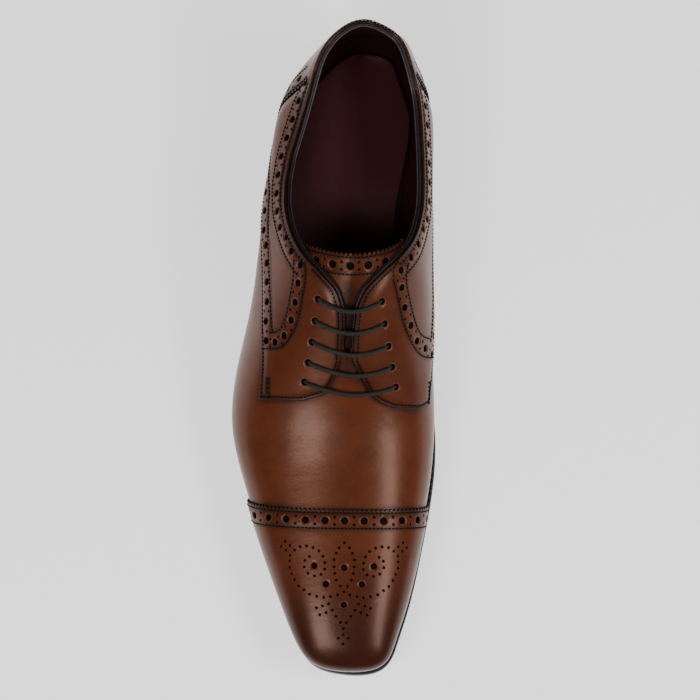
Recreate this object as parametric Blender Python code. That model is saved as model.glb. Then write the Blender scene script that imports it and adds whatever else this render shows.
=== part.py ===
"""Right brogue derby shoe, in metres, +Z up, toe toward -Y, inner side of the foot toward +X.

The origin is the middle of the heel's resting face. Points are worked out as (along, across, up):
along runs from the back of the heel to the toe, across is positive toward the inner side.
"""

import math
from collections import namedtuple

import bmesh
import bpy
import numpy as np

# Driving sizes
SOLE_LENGTH = 0.314
BALL_WIDTH = 0.100
INSTEP_HEIGHT = 0.087
HEEL_HEIGHT = 0.024
TOE_SPRING = 0.0105

# Thicknesses and fits
OUTSOLE = 0.0045
WELT = 0.0030
UPPER_WALL = 0.0022
OVERLAY = 0.0011
COUNTER = 0.0014
TONGUE = 0.0018
INSOLE = 0.0030
GAP = 0.0003
# Flat faces cut inside the curve they stand for, so nested pieces start a little further apart.
FACET_GAP = 0.0006
TONGUE_DROP = 0.00084
TOP_PIECE = 0.0065
LACE = 0.0024
BINDING_WIDTH = 0.0034
BINDING_HEIGHT = 0.0012

# Sole sizes
WELT_PROJECTION = 0.0030
WELT_INSIDE = 0.0012
HEEL_BREAST = 0.238
HEEL_TAPER = 0.0014
STACK_TAPER = 0.00105
HEEL_REST = 0.118
SOLE_EDGE_ROUND = 0.0006
SHARP_DEGREES = 38

Section = namedtuple(
    "Section",
    "along lateral medial tuck_lateral tuck_medial rise_lateral rise_medial"
    " full_lateral full_medial lean_lateral lean_medial ridge",
)
# A row for each section of the last, heel to toe. Along and ridge are shares of SOLE_LENGTH,
# the widths, tucks, rises and leans shares of BALL_WIDTH, and full is the exponent of the curve.
SECTIONS = [
    Section(0.009, -0.035, 0.035, 0.035, 0.035, 0.20, 0.20, 2.20, 2.20, 0.035, 0.035, 0.084),
    Section(0.024, 0.105, 0.200, 0.035, 0.035, 0.20, 0.20, 2.50, 2.30, 0.030, 0.055, 0.094),
    Section(0.064, 0.232, 0.270, 0.035, 0.040, 0.20, 0.20, 2.65, 2.40, 0.050, 0.04, 0.112),
    Section(0.129, 0.355, 0.342, 0.040, 0.050, 0.20, 0.21, 2.15, 2.40, 0.125, 0.07, 0.145),
    Section(0.217, 0.405, 0.353, 0.060, 0.090, 0.21, 0.24, 1.80, 2.50, 0.13, 0.07, 0.217),
    Section(0.318, 0.457, 0.353, 0.080, 0.130, 0.22, 0.28, 1.60, 2.00, 0.06, 0.04, 0.318),
    Section(0.427, 0.500, 0.368, 0.070, 0.100, 0.19, 0.25, 1.60, 1.90, 0.02, 0.00, 0.427),
    Section(0.525, 0.565, 0.388, 0.050, 0.040, 0.15, 0.17, 1.72, 2.00, 0.00, 0.00, 0.525),
    Section(0.618, 0.586, 0.398, 0.042, 0.010, 0.13, 0.14, 1.90, 2.10, 0.00, 0.00, 0.618),
    Section(0.707, 0.522, 0.376, 0.042, 0.002, 0.12, 0.12, 2.10, 2.20, 0.00, 0.00, 0.707),
    Section(0.796, 0.433, 0.326, 0.042, 0.002, 0.11, 0.11, 2.25, 2.30, 0.00, 0.00, 0.793),
    Section(0.879, 0.339, 0.266, 0.036, 0.000, 0.10, 0.10, 2.35, 2.40, 0.00, 0.00, 0.867),
    Section(0.943, 0.259, 0.203, 0.030, 0.000, 0.09, 0.09, 2.45, 2.50, 0.00, 0.00, 0.914),
    Section(0.981, 0.165, 0.142, 0.018, 0.002, 0.085, 0.085, 2.50, 2.50, 0.00, 0.00, 0.937),
    Section(0.991, 0.000, 0.000, 0.008, 0.008, 0.08, 0.08, 2.60, 2.60, 0.00, 0.00, 0.946),
]
ROWS = len(SECTIONS) - 1
BELLY_SHARE = 0.78
LEAN_HEIGHT = 0.16

Level = namedtuple("Level", "along heel spring")
# The outsole's lower face in side view: shares of SOLE_LENGTH, HEEL_HEIGHT and TOE_SPRING.
UNDERSIDE = [
    Level(0.00, 1.00, 0.00),
    Level(0.23, 0.86, 0.00),
    Level(0.32, 0.62, 0.00),
    Level(0.42, 0.28, 0.00),
    Level(0.50, 0.06, 0.00),
    Level(0.56, 0.00, 0.00),
    Level(0.70, 0.00, 0.00),
    Level(0.78, 0.00, 0.10),
    Level(0.87, 0.00, 0.37),
    Level(0.96, 0.00, 0.80),
    Level(1.00, 0.00, 1.00),
]

Ridge = namedtuple("Ridge", "along height across")
# The last's top line: shares of SOLE_LENGTH, INSTEP_HEIGHT and BALL_WIDTH.
RIDGE = [
    Ridge(0.00, 1.40, 0.038),
    Ridge(0.10, 1.37, 0.038),
    Ridge(0.19, 1.32, 0.018),
    Ridge(0.30, 1.18, -0.012),
    Ridge(0.375, 1.070, -0.024),
    Ridge(0.41, 1.005, -0.030),
    Ridge(0.46, 0.910, -0.040),
    Ridge(0.51, 0.805, -0.046),
    Ridge(0.56, 0.705, -0.050),
    Ridge(0.605, 0.622, -0.053),
    Ridge(0.65, 0.565, -0.054),
    Ridge(0.70, 0.524, -0.053),
    Ridge(0.765, 0.488, -0.048),
    Ridge(0.83, 0.460, -0.040),
    Ridge(0.89, 0.435, -0.031),
    Ridge(0.945, 0.402, -0.017),
    Ridge(1.00, 0.360, 0.000),
]

Top = namedtuple("Top", "u lateral medial")
# Where the upper's top edge runs: u as a share of the rows, v on each side.
TOPLINE = [
    Top(0.000, 0.515, 0.515),
    Top(0.070, 0.570, 0.543),
    Top(0.140, 0.622, 0.604),
    Top(0.210, 0.634, 0.663),
    Top(0.280, 0.643, 0.682),
    Top(0.310, 0.620, 0.668),
    Top(0.340, 0.562, 0.628),
    Top(0.360, 0.496, 0.560),
    Top(0.380, 0.418, 0.460),
    Top(0.400, 0.322, 0.325),
    Top(0.420, 0.200, 0.180),
    Top(0.440, 0.096, 0.078),
    Top(0.460, 0.050, 0.044),
    Top(0.480, 0.038, 0.038),
    Top(0.508, 0.036, 0.036),
    Top(7.5 / ROWS, 0.000, 0.000),
]
THROAT = 7.5 / ROWS

# The counter's front edges: u at the top edge and at the foot, lateral and medial.
COUNTER_TOP = {-1: 0.172, 1: 0.162}
COUNTER_FOOT = {-1: 0.300, 1: 0.290}

Lower = namedtuple("Lower", "u lateral medial")
# The quarters' lower edges, back to front.
QUARTER_LOWER = [
    Lower(0.240, 0.90, 0.93),
    Lower(0.300, 0.84, 0.90),
    Lower(0.335, 0.77, 0.86),
    Lower(0.374, 0.69, 0.82),
    Lower(0.424, 0.59, 0.77),
    Lower(0.455, 0.53, 0.72),
    Lower(0.488, 0.47, 0.66),
    Lower(0.517, 0.44, 0.61),
    Lower(0.547, 0.43, 0.56),
]

Front = namedtuple("Front", "t u_lateral v_lateral u_medial v_medial")
# The facings' front edges, from the lower corner in to the slot.
QUARTER_FRONT = [
    Front(0.00, 0.547, 0.430, 0.547, 0.560),
    Front(0.22, 0.549, 0.330, 0.556, 0.425),
    Front(0.45, 0.551, 0.217, 0.557, 0.282),
    Front(0.60, 0.548, 0.153, 0.553, 0.199),
    Front(0.74, 0.543, 0.100, 0.545, 0.138),
    Front(0.83, 0.534, 0.074, 0.535, 0.106),
    Front(0.92, 0.522, 0.052, 0.522, 0.070),
    Front(1.00, 0.508, 0.036, 0.508, 0.036),
]
QUARTER_MARGIN = 0.006
QUARTER_STEP = 0.0025
# Tries that bring the quarter's lower corner onto the counter's edge.
COUNTER_STEPS = 30

CAP_EDGE = 0.731
CAP_BOW = 0.022
# How far the cap's edge sweeps back toward the feather, lateral and medial.
CAP_SWEEP = (0.013, 0.004)
CAP_SEARCH = (0.50, 0.95)
SEARCH_STEPS = 40
TONGUE_TOP = 0.404
TONGUE_DIP = 0.022
TONGUE_WIDTH = 0.42
TONGUE_NARROWING = 0.5
TONGUE_FOOT = 0.60

Eyelet = namedtuple("Eyelet", "u_lateral v_lateral u_medial v_medial")
# The lace's five pairs of eyelets, top to bottom.
EYELETS = [
    Eyelet(0.443, 0.200, 0.445, 0.188),
    Eyelet(0.465, 0.196, 0.467, 0.206),
    Eyelet(0.487, 0.194, 0.490, 0.230),
    Eyelet(0.509, 0.197, 0.512, 0.253),
    Eyelet(0.530, 0.202, 0.533, 0.275),
]
LACE_SAG = 0.0120
BINDING_END = 0.500
HEEL_BREAST_CURVE = 0.004
# How far the welt and outsole stand out, as shares of WELT_PROJECTION from the heel to the toe.
PROJECTION_AT = [0.0, 0.15, 0.30, 0.45, 0.60, 0.80, 1.0]
PROJECTION_SHARES = [0.55, 0.50, 0.45, 0.60, 0.85, 1.0, 1.1]
OUTLINE_POINTS = 27
BREAST_POINTS = 81
HEEL_POINTS = 15


# Curves and the last's surface
def eased(x, xs, ys):
    """Monotone cubic curve through a table."""
    xs = np.asarray(xs, float)
    ys = np.asarray(ys, float)
    h = np.diff(xs)
    d = np.diff(ys) / h
    m = np.zeros_like(ys)
    after = 2 * h[1:] + h[:-1]
    before = h[1:] + 2 * h[:-1]
    same = d[:-1] * d[1:] > 0
    first = np.where(same, d[:-1], 1.0)
    second = np.where(same, d[1:], 1.0)
    m[1:-1] = np.where(same, (after + before) / (after / first + before / second), 0.0)
    m[0] = d[0]
    m[-1] = d[-1]
    x = np.clip(x, xs[0], xs[-1])
    i = np.clip(np.searchsorted(xs, x, side="right") - 1, 0, len(xs) - 2)
    t = (x - xs[i]) / h[i]
    lower = (2 * t**3 - 3 * t**2 + 1) * ys[i] + (t**3 - 2 * t**2 + t) * h[i] * m[i]
    upper = (-2 * t**3 + 3 * t**2) * ys[i + 1] + (t**3 - t**2) * h[i] * m[i + 1]
    return lower + upper


def bends(xs, ys):
    """Second derivatives of the natural cubic spline through a table."""
    n = len(xs)
    h = np.diff(xs)
    system = np.eye(n)
    right = np.zeros(n)
    for i in range(1, n - 1):
        system[i, i - 1] = h[i - 1]
        system[i, i] = 2 * (h[i - 1] + h[i])
        system[i, i + 1] = h[i]
        right[i] = 6 * ((ys[i + 1] - ys[i]) / h[i] - (ys[i] - ys[i - 1]) / h[i - 1])
    return np.linalg.solve(system, right)


def splined(x, xs, ys):
    """Natural cubic spline through a table."""
    xs = np.asarray(xs, float)
    ys = np.asarray(ys, float)
    m = bends(xs, ys)
    h = np.diff(xs)
    i = np.clip(np.searchsorted(xs, x, side="right") - 1, 0, len(xs) - 2)
    a = (xs[i + 1] - x) / h[i]
    b = (x - xs[i]) / h[i]
    return a * ys[i] + b * ys[i + 1] + ((a**3 - a) * m[i] + (b**3 - b) * m[i + 1]) * h[i] ** 2 / 6


def looped_bends(ys):
    """Second derivatives of the closed cubic spline through evenly spaced values."""
    n = len(ys)
    system = np.zeros((n, n))
    right = np.zeros(n)
    for i in range(n):
        ahead = (i + 1) % n
        behind = (i - 1) % n
        system[i, i] += 4
        system[i, ahead] += 1
        system[i, behind] += 1
        right[i] = 6 * (ys[ahead] - 2 * ys[i] + ys[behind])
    return np.linalg.solve(system, right)


def loop_of(lateral, medial):
    """One column of the table, down the lateral side and back up the medial side."""
    down = [getattr(row, lateral) for row in SECTIONS]
    back = [getattr(row, medial) for row in SECTIONS[-2:0:-1]]
    return np.array(down + back, float)


COLUMNS = {
    "along": loop_of("along", "along"),
    "ridge": loop_of("ridge", "ridge"),
    "tuck": loop_of("tuck_lateral", "tuck_medial"),
    "rise": loop_of("rise_lateral", "rise_medial"),
    "full": loop_of("full_lateral", "full_medial"),
    "lean": loop_of("lean_lateral", "lean_medial"),
    "across": loop_of("lateral", "medial") * np.repeat((-1.0, 1.0), (ROWS + 1, ROWS - 1)),
}
LOOPED_BENDS = {name: looped_bends(values) for name, values in COLUMNS.items()}


def column(name, w):
    """A column of the table at loop position w, one unit a row."""
    values = COLUMNS[name]
    m = LOOPED_BENDS[name]
    n = len(values)
    w = np.mod(w, n)
    i = np.floor(w).astype(int) % n
    j = (i + 1) % n
    b = w - np.floor(w)
    a = 1 - b
    return a * values[i] + b * values[j] + ((a**3 - a) * m[i] + (b**3 - b) * m[j]) / 6


def underside(along):
    """Height of the outsole's lower face."""
    xs = [level.along * SOLE_LENGTH for level in UNDERSIDE]
    zs = [level.heel * HEEL_HEIGHT + level.spring * TOE_SPRING for level in UNDERSIDE]
    return eased(along, xs, zs)


def welt_top(along):
    return underside(along) + OUTSOLE + GAP + WELT


def feather(along):
    """Height of the upper's lower edge."""
    return welt_top(along) + GAP


RIDGE_ALONG = [row.along * SOLE_LENGTH for row in RIDGE]


def ridge_height(along):
    return splined(along, RIDGE_ALONG, [row.height * INSTEP_HEIGHT for row in RIDGE])


def ridge_across(along):
    return splined(along, RIDGE_ALONG, [row.across * BALL_WIDTH for row in RIDGE])


def folded(u, v):
    """Past the heel's or the toe's middle line a point is on the other side."""
    u, v = np.broadcast_arrays(np.asarray(u, float), np.asarray(v, float))
    v = np.where((u > 1) | (u < 0), -v, v)
    u = np.where(u > 1, 2 - u, np.abs(u))
    return u, v


def last(u, v):
    """A point of the upper's outer face. u is 0 at the heel and 1 at the toe. v is -1 at the lateral
    lower edge, 0 on the top line and 1 at the medial lower edge."""
    u, v = folded(u, v)
    w = np.where(v < 0, u * ROWS, (2 - u) * ROWS)
    belly_along = column("along", w) * SOLE_LENGTH
    belly_across = column("across", w) * BALL_WIDTH
    ridge_along = column("ridge", w) * SOLE_LENGTH
    middle = ridge_across(ridge_along)
    tuck = column("tuck", w) * BALL_WIDTH
    rise = column("rise", w) * BALL_WIDTH
    lean = column("lean", w) * BALL_WIDTH
    power = 2 / column("full", w)
    run_along = belly_along - ridge_along
    run_across = belly_across - middle
    run = np.hypot(run_along, run_across)
    out_along = run_along / run
    out_across = run_across / run
    belly_up = feather(belly_along - out_along * tuck) + rise
    a = np.abs(v)
    turn = np.clip(1 - a / BELLY_SHARE, 0, 1) * math.pi / 2
    share = np.abs(np.cos(turn)) ** power
    along = ridge_along + run_along * share
    across = middle + run_across * share
    up = belly_up + (ridge_height(along) - belly_up) * np.sin(turn) ** power
    over = (up - belly_up) / (LEAN_HEIGHT * BALL_WIDTH)
    inward = lean * share * (1 - np.exp(-(over**2)))
    under = np.clip((a - BELLY_SHARE) / (1 - BELLY_SHARE), 0, None)
    inward = inward + tuck * under**2
    up = np.where(a > BELLY_SHARE, belly_up - rise * under, up)
    return np.stack([along - out_along * inward, across - out_across * inward, up], -1)


STEP = 1e-4


def outward(u, v):
    """Unit normal of the upper's outer face, taken just short of the toe's end of the top line."""
    u, v = np.broadcast_arrays(u, v)
    fold = (np.abs(v) < 2 * STEP) & (u > 1 - 2 * STEP)
    u = np.where(fold, 1 - 3 * STEP, u)
    by_u = last(u + STEP, v) - last(u - STEP, v)
    by_v = last(u, v + STEP) - last(u, v - STEP)
    facing = np.cross(by_u, by_v)
    return facing / np.linalg.norm(facing, axis=-1, keepdims=True)


def raised(u, v, height):
    """A point at a height above the upper's outer face."""
    return last(u, v) + outward(u, v) * height


def top_edge(u, side):
    """v of the upper's top edge on one side."""
    us = [row.u for row in TOPLINE]
    vs = [row.lateral if side < 0 else row.medial for row in TOPLINE]
    return eased(np.abs(u), us, vs)


# Meshes
def placed(points):
    """(along, across, up) to the frame's x, y and z."""
    points = np.asarray(points, float)
    return np.stack([points[..., 1], HEEL_REST * SOLE_LENGTH - points[..., 0], points[..., 2]], -1)


def add_object(name, points, faces, material):
    """A mesh object from points in (along, across, up), its faces turned outward."""
    points = placed(points)
    mesh = bpy.data.meshes.new(name)
    mesh.from_pydata([tuple(map(float, point)) for point in points], [], faces)
    work = bmesh.new()
    work.from_mesh(mesh)
    bmesh.ops.recalc_face_normals(work, faces=work.faces)
    if work.calc_volume(signed=True) < 0:
        bmesh.ops.reverse_faces(work, faces=work.faces)
    work.to_mesh(mesh)
    work.free()
    obj = bpy.data.objects.new(name, mesh)
    COLLECTION.objects.link(obj)
    mesh.materials.append(material)
    for polygon in mesh.polygons:
        polygon.use_smooth = True
    mesh.set_sharp_from_angle(angle=math.radians(SHARP_DEGREES))
    return obj


def welded(points, faces):
    """Joins points that share a place, and drops the faces' repeated corners."""
    _, first, index = np.unique(np.round(points, 7), axis=0, return_index=True, return_inverse=True)
    index = index.reshape(-1)
    kept = []
    for face in faces:
        corners = [int(index[i]) for i in face]
        corners = [c for k, c in enumerate(corners) if c != corners[k - 1]]
        if len(corners) > 2:
            kept.append(corners)
    return first, kept


def sheet_faces(rows, columns, start=0):
    """Quads of a grid of points stored row by row."""
    faces = []
    for i in range(rows - 1):
        for j in range(columns - 1):
            a = start + i * columns + j
            faces.append([a, a + 1, a + columns + 1, a + columns])
    return faces


def thick(name, grids, low, high, material, level_foot=False):
    """A closed solid between two heights above the upper's face, over one or more (u, v) grids."""
    u = np.concatenate([grid[0].ravel() for grid in grids])
    v = np.concatenate([grid[1].ravel() for grid in grids])
    faces = []
    start = 0
    for grid in grids:
        rows, columns = grid[0].shape
        faces += sheet_faces(rows, columns, start)
        start += rows * columns
    first, faces = welded(last(u, v), faces)
    u = u[first]
    v = v[first]
    layers = []
    for height in (high, low):
        points = raised(u, v, height)
        if level_foot:
            foot = np.abs(v) > 1 - 1e-6
            points[:, 2] = np.where(foot, feather(points[:, 0]), points[:, 2])
        layers.append(points)
    count = len(u)
    edges = {}
    for face in faces:
        for k, a in enumerate(face):
            b = face[(k + 1) % len(face)]
            key = (min(a, b), max(a, b))
            edges.setdefault(key, []).append((a, b))
    solid = [list(face) for face in faces]
    solid += [[i + count for i in reversed(face)] for face in faces]
    for uses in edges.values():
        if len(uses) == 1:
            a, b = uses[0]
            solid.append([b, a, a + count, b + count])
    return add_object(name, np.concatenate(layers), solid, material)


def blend(back, front, lower, upper, rows, columns):
    """A (u, v) grid inside four edges, each a function of 0 to 1 giving u and v."""
    s = np.linspace(0, 1, rows)[:, None]
    t = np.linspace(0, 1, columns)[None, :]
    grid = []
    for k in (0, 1):
        low = lower(s)[k]
        high = upper(s)[k]
        start = back(t)[k]
        end = front(t)[k]
        corners = (
            (1 - s) * (1 - t) * lower(np.zeros(1))[k]
            + s * (1 - t) * lower(np.ones(1))[k]
            + (1 - s) * t * upper(np.zeros(1))[k]
            + s * t * upper(np.ones(1))[k]
        )
        grid.append((1 - t) * low + t * high + (1 - s) * start + s * end - corners)
    return grid


# Plan outlines
def half_outline(inset, count):
    """u values and the foot of the upper's outer face moved inward, lateral then medial side."""
    us = np.linspace(0, 1, count)
    points = []
    for side in (-1, 1):
        foot = last(us, np.full(count, float(side)))
        ahead = last(us + STEP, np.full(count, float(side)))
        behind = last(us - STEP, np.full(count, float(side)))
        run = ahead[:, :2] - behind[:, :2]
        run = run / np.linalg.norm(run, axis=1, keepdims=True)
        inward = np.stack([-run[:, 1], run[:, 0]], 1) * -side
        points.append(foot[:, :2] + inward * np.broadcast_to(inset, count)[:, None])
    return points


def loop_outline(inset, count):
    """The outline as one closed loop: heel, lateral side, toe, medial side."""
    lateral, medial = half_outline(inset, count)
    return np.concatenate([lateral, medial[-2:0:-1]])


def ladder(loop, height, count, cells):
    """Points and faces that close a loop with strips from the lateral to the medial side."""
    points = []
    lines = [[0]]
    size = 2 * count - 2
    total = size
    for i in range(1, count - 1):
        a = i
        b = size - i
        line = [a]
        for k in range(1, cells):
            share = k / cells
            flat = loop[a] * (1 - share) + loop[b] * share
            points.append([flat[0], flat[1], height(flat[0])])
            line.append(total)
            total += 1
        line.append(b)
        lines.append(line)
    lines.append([count - 1])
    faces = []
    for one, two in zip(lines[:-1], lines[1:]):
        if len(one) == 1:
            faces += [[one[0], two[k], two[k + 1]] for k in range(cells)]
        elif len(two) == 1:
            faces += [[one[k], two[0], one[k + 1]] for k in range(cells)]
        else:
            faces += [[one[k], two[k], two[k + 1], one[k + 1]] for k in range(cells)]
    return points, faces


def stacked(name, rings, count, cells, material):
    """A solid from closed rings, lowest first, each (loop, height function), its ends closed."""
    size = 2 * count - 2
    points = []
    faces = []
    for loop, height in rings:
        points += [[p[0], p[1], float(height(p[0]))] for p in loop]
    for level in range(len(rings) - 1):
        for i in range(size):
            a = level * size + i
            b = level * size + (i + 1) % size
            faces.append([a, b, b + size, a + size])
    for level in (0, len(rings) - 1):
        loop, height = rings[level]
        added, closing = ladder(loop, height, count, cells)
        start = len(points)
        points += [[p[0], p[1], float(p[2])] for p in added]
        shift = [level * size + i if i < size else start + i - size for i in range(size + len(added))]
        faces += [[shift[i] for i in face] for face in closing]
    return add_object(name, np.array(points), faces, material)


# Pieces
def projection(us):
    """How far the welt and outsole stand out past the upper's foot, heel to toe."""
    return eased(us, PROJECTION_AT, PROJECTION_SHARES) * WELT_PROJECTION


def make_outsole(material):
    count = OUTLINE_POINTS
    out = projection(np.linspace(0, 1, count))
    wide = loop_outline(-out, count)
    narrow = loop_outline(-out + SOLE_EDGE_ROUND, count)

    def low(along):
        return underside(along)

    def low_edge(along):
        return underside(along) + SOLE_EDGE_ROUND

    def high_edge(along):
        return underside(along) + OUTSOLE - SOLE_EDGE_ROUND

    def high(along):
        return underside(along) + OUTSOLE

    rings = [(narrow, low), (wide, low_edge), (wide, high_edge), (narrow, high)]
    stacked("outsole", rings, count, 5, material)


def make_welt(material):
    count = OUTLINE_POINTS
    out = projection(np.linspace(0, 1, count))
    wide = loop_outline(-out + SOLE_EDGE_ROUND / 2, count)
    inner = loop_outline(UPPER_WALL + WELT_INSIDE, count)
    size = len(wide)
    points = []
    for loop, top in ((wide, 0), (wide, 1), (inner, 1), (inner, 0)):
        for p in loop:
            base = underside(p[0]) + OUTSOLE + GAP
            points.append([p[0], p[1], base + WELT * top])
    faces = []
    for ring in range(4):
        for i in range(size):
            a = ring * size + i
            b = ring * size + (i + 1) % size
            c = (ring + 1) % 4 * size + (i + 1) % size
            d = (ring + 1) % 4 * size + i
            faces.append([a, b, c, d])
    add_object("welt", np.array(points), faces, material)


def make_insole(material):
    count = OUTLINE_POINTS
    full = loop_outline(UPPER_WALL + FACET_GAP, count)
    filler = loop_outline(UPPER_WALL + WELT_INSIDE + FACET_GAP, count)

    def low(along):
        return underside(along) + OUTSOLE + FACET_GAP

    def step(along):
        return welt_top(along) + FACET_GAP

    def high(along):
        return welt_top(along) + FACET_GAP + INSOLE

    rings = [(filler, low), (filler, step), (full, step), (full, high)]
    stacked("insole", rings, count, 4, material)


def heel_loop(inset, count):
    """The sole's outline behind the heel breast, as half outlines that meet at the breast line."""
    fine = BREAST_POINTS
    out = projection(np.linspace(0, 1, fine))
    halves = half_outline(-out + inset, fine)
    breast = HEEL_BREAST * SOLE_LENGTH
    loop = []
    for side, half in zip((-1, 1), halves):
        length = np.concatenate([[0], np.cumsum(np.hypot(*np.diff(half, axis=0).T))])
        stop = np.interp(breast, half[:, 0], length)
        at = np.linspace(0, stop, count)
        loop.append(np.stack([np.interp(at, length, half[:, k]) for k in (0, 1)], 1))
    lateral, medial = loop
    middle = (lateral[-1] + medial[-1]) / 2
    curve = HEEL_BREAST_CURVE
    middle = middle - np.array([curve, 0])
    quarter_one = (lateral[-1] + middle) / 2 - np.array([curve / 4, 0])
    quarter_two = (medial[-1] + middle) / 2 - np.array([curve / 4, 0])
    front = np.stack([quarter_one, middle, quarter_two])
    return np.concatenate([lateral, front, medial[:0:-1]])


def make_heel_block(name, levels, count, material):
    """A heel layer from rings, each (inset, height function)."""
    points = []
    loops = [heel_loop(inset, count) for inset, _ in levels]
    size = len(loops[0])
    for loop, (_, height) in zip(loops, levels):
        points += [[p[0], p[1], float(height(p[0]))] for p in loop]
    faces = []
    for level in range(len(levels) - 1):
        for i in range(size):
            a = level * size + i
            b = level * size + (i + 1) % size
            faces.append([a, b, b + size, a + size])
    half = size // 2
    for level in (0, len(levels) - 1):
        start = level * size
        faces.append([start, start + 1, start + size - 1])
        for i in range(1, half):
            faces.append([start + i, start + i + 1, start + size - i - 1, start + size - i])
    return add_object(name, np.array(points), faces, material)


def make_heel(leather, rubber):
    count = HEEL_POINTS
    rim = SOLE_EDGE_ROUND / 2

    def ground(along):
        return 0.0 * along

    def ground_edge(along):
        return ground(along) + rim

    def piece_top(along):
        return ground(along) + TOP_PIECE

    def stack_foot(along):
        return ground(along) + TOP_PIECE + GAP

    def stack_top(along):
        return underside(along) - FACET_GAP

    levels = [(HEEL_TAPER + rim, ground), (HEEL_TAPER, ground_edge), (STACK_TAPER, piece_top)]
    make_heel_block("heel_top_piece", levels, count, rubber)
    make_heel_block("heel_stack", [(STACK_TAPER, stack_foot), (rim, stack_top)], count, leather)


def make_upper(material):
    rows = 4 * ROWS + 1
    columns = 11
    us = np.linspace(0, 1, rows)
    # The row at the throat is put exactly where the slot closes.
    nearest = int(np.argmin(np.abs(us - THROAT)))
    us[nearest] = THROAT
    grids = []
    for side in (-1, 1):
        top = np.where(us < THROAT, top_edge(us, side), 0.0)
        share = np.linspace(0, 1, columns)[None, :]
        u = np.repeat(us[:, None], columns, 1)
        v = side * (top[:, None] * (1 - share) + share)
        grids.append((u, v))
    thick("upper", grids, -UPPER_WALL, 0.0, material, level_foot=True)


def make_toe_cap(material):
    rows = 9
    columns = 25
    v = np.linspace(-1, 1, columns)[None, :] * np.ones((rows, 1))
    start = cap_start(v[0])
    share = np.linspace(0, 1, rows)[:, None]
    u = start[None, :] * (1 - share) + share
    thick("toe_cap", [(u, v)], FACET_GAP, FACET_GAP + OVERLAY, material, level_foot=True)


def cap_start(v):
    """u of the toe cap's edge at each v, straight across with a slight bow."""
    low = np.full(v.shape, CAP_SEARCH[0])
    high = np.full(v.shape, CAP_SEARCH[1])
    for _ in range(SEARCH_STEPS):
        middle = (low + high) / 2
        point = last(middle, v)
        sweep = np.where(v < 0, CAP_SWEEP[0], CAP_SWEEP[1])
        bow = (CAP_BOW * (1 - v**2) - sweep * v**2) * SOLE_LENGTH
        short = point[..., 0] < CAP_EDGE * SOLE_LENGTH + bow
        low = np.where(short, middle, low)
        high = np.where(short, high, middle)
    return (low + high) / 2


def quarter_edges(side):
    """The four edges of a quarter: back at the counter, front at the facing, lower and upper."""
    start_u = COUNTER_TOP[side] + QUARTER_STEP
    ends_u = QUARTER_FRONT[-1].u_lateral
    name = "lateral" if side < 0 else "medial"
    lower_u = [row.u for row in QUARTER_LOWER]
    lower_v = [getattr(row, name) for row in QUARTER_LOWER]
    top_v = float(top_edge(COUNTER_TOP[side], side))
    foot_u = COUNTER_FOOT[side]
    for _ in range(COUNTER_STEPS):
        down = (eased(foot_u, lower_u, lower_v) - top_v) / (1 - top_v)
        foot_u = COUNTER_TOP[side] + (COUNTER_FOOT[side] - COUNTER_TOP[side]) * down + QUARTER_STEP
    front_t = [row.t for row in QUARTER_FRONT]
    front_u = [getattr(row, "u_" + name) for row in QUARTER_FRONT]
    front_v = [getattr(row, "v_" + name) for row in QUARTER_FRONT]

    def upper(t):
        u = start_u + (ends_u - start_u) * t
        return u, top_edge(u, side) + QUARTER_MARGIN * np.sqrt(1 - t)

    def lower(t):
        u = foot_u + (front_u[0] - foot_u) * t
        return u, eased(u, lower_u, lower_v)

    def back(t):
        low = lower(np.zeros(1))
        high = upper(np.zeros(1))
        return tuple(low[k] * (1 - t) + high[k] * t for k in (0, 1))

    def front(t):
        return eased(t, front_t, front_u), eased(t, front_t, front_v)

    return back, front, lower, upper


def make_quarter(name, side, material):
    u, v = blend(*quarter_edges(side), 27, 10)
    thick(name, [(u, v * side)], FACET_GAP, FACET_GAP + OVERLAY, material)


def make_counter(material):
    rows = 27
    columns = 9
    t = np.linspace(-1, 1, rows)[:, None]
    share = np.linspace(0, 1, columns)[None, :]
    high_u = np.where(t > 0, COUNTER_TOP[1], COUNTER_TOP[-1]) * t
    low_u = np.where(t > 0, COUNTER_FOOT[1], COUNTER_FOOT[-1]) * t
    u = high_u * (1 - share) + low_u * share
    top = np.where(u < 0, top_edge(u, -1), top_edge(u, 1)) + QUARTER_MARGIN
    v = top * (1 - share) + share
    thick("counter", [(u, v)], FACET_GAP, FACET_GAP + COUNTER, material, level_foot=True)


def make_tongue(material):
    rows = 13
    columns = 11
    t = np.linspace(0, 1, rows)[:, None]
    k = np.linspace(-1, 1, columns)[None, :]
    width = TONGUE_WIDTH * (1 - TONGUE_NARROWING * t)
    start = TONGUE_TOP - TONGUE_DIP * k**2
    u = start * (1 - t) + TONGUE_FOOT * t
    v = k * width + 0.0 * u
    high = -UPPER_WALL - TONGUE_DROP
    thick("tongue", [(u, v)], high - TONGUE, high, material)


def swept(name, centres, widths, heights, half_width, half_height, sides, material):
    """A bead along points. widths and heights are the unit directions of its cross-section."""
    count = len(centres)
    turn = np.arange(sides) / sides * 2 * math.pi
    ring = (
        centres[:, None, :]
        + widths[:, None, :] * (np.cos(turn) * half_width)[None, :, None]
        + heights[:, None, :] * (np.sin(turn) * half_height)[None, :, None]
    )
    faces = []
    for i in range(count - 1):
        for j in range(sides):
            a = i * sides + j
            b = i * sides + (j + 1) % sides
            faces.append([a, b, b + sides, a + sides])
    faces.append(list(range(sides)))
    faces.append([(count - 1) * sides + j for j in range(sides)])
    return add_object(name, ring.reshape(-1, 3), faces, material)


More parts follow.
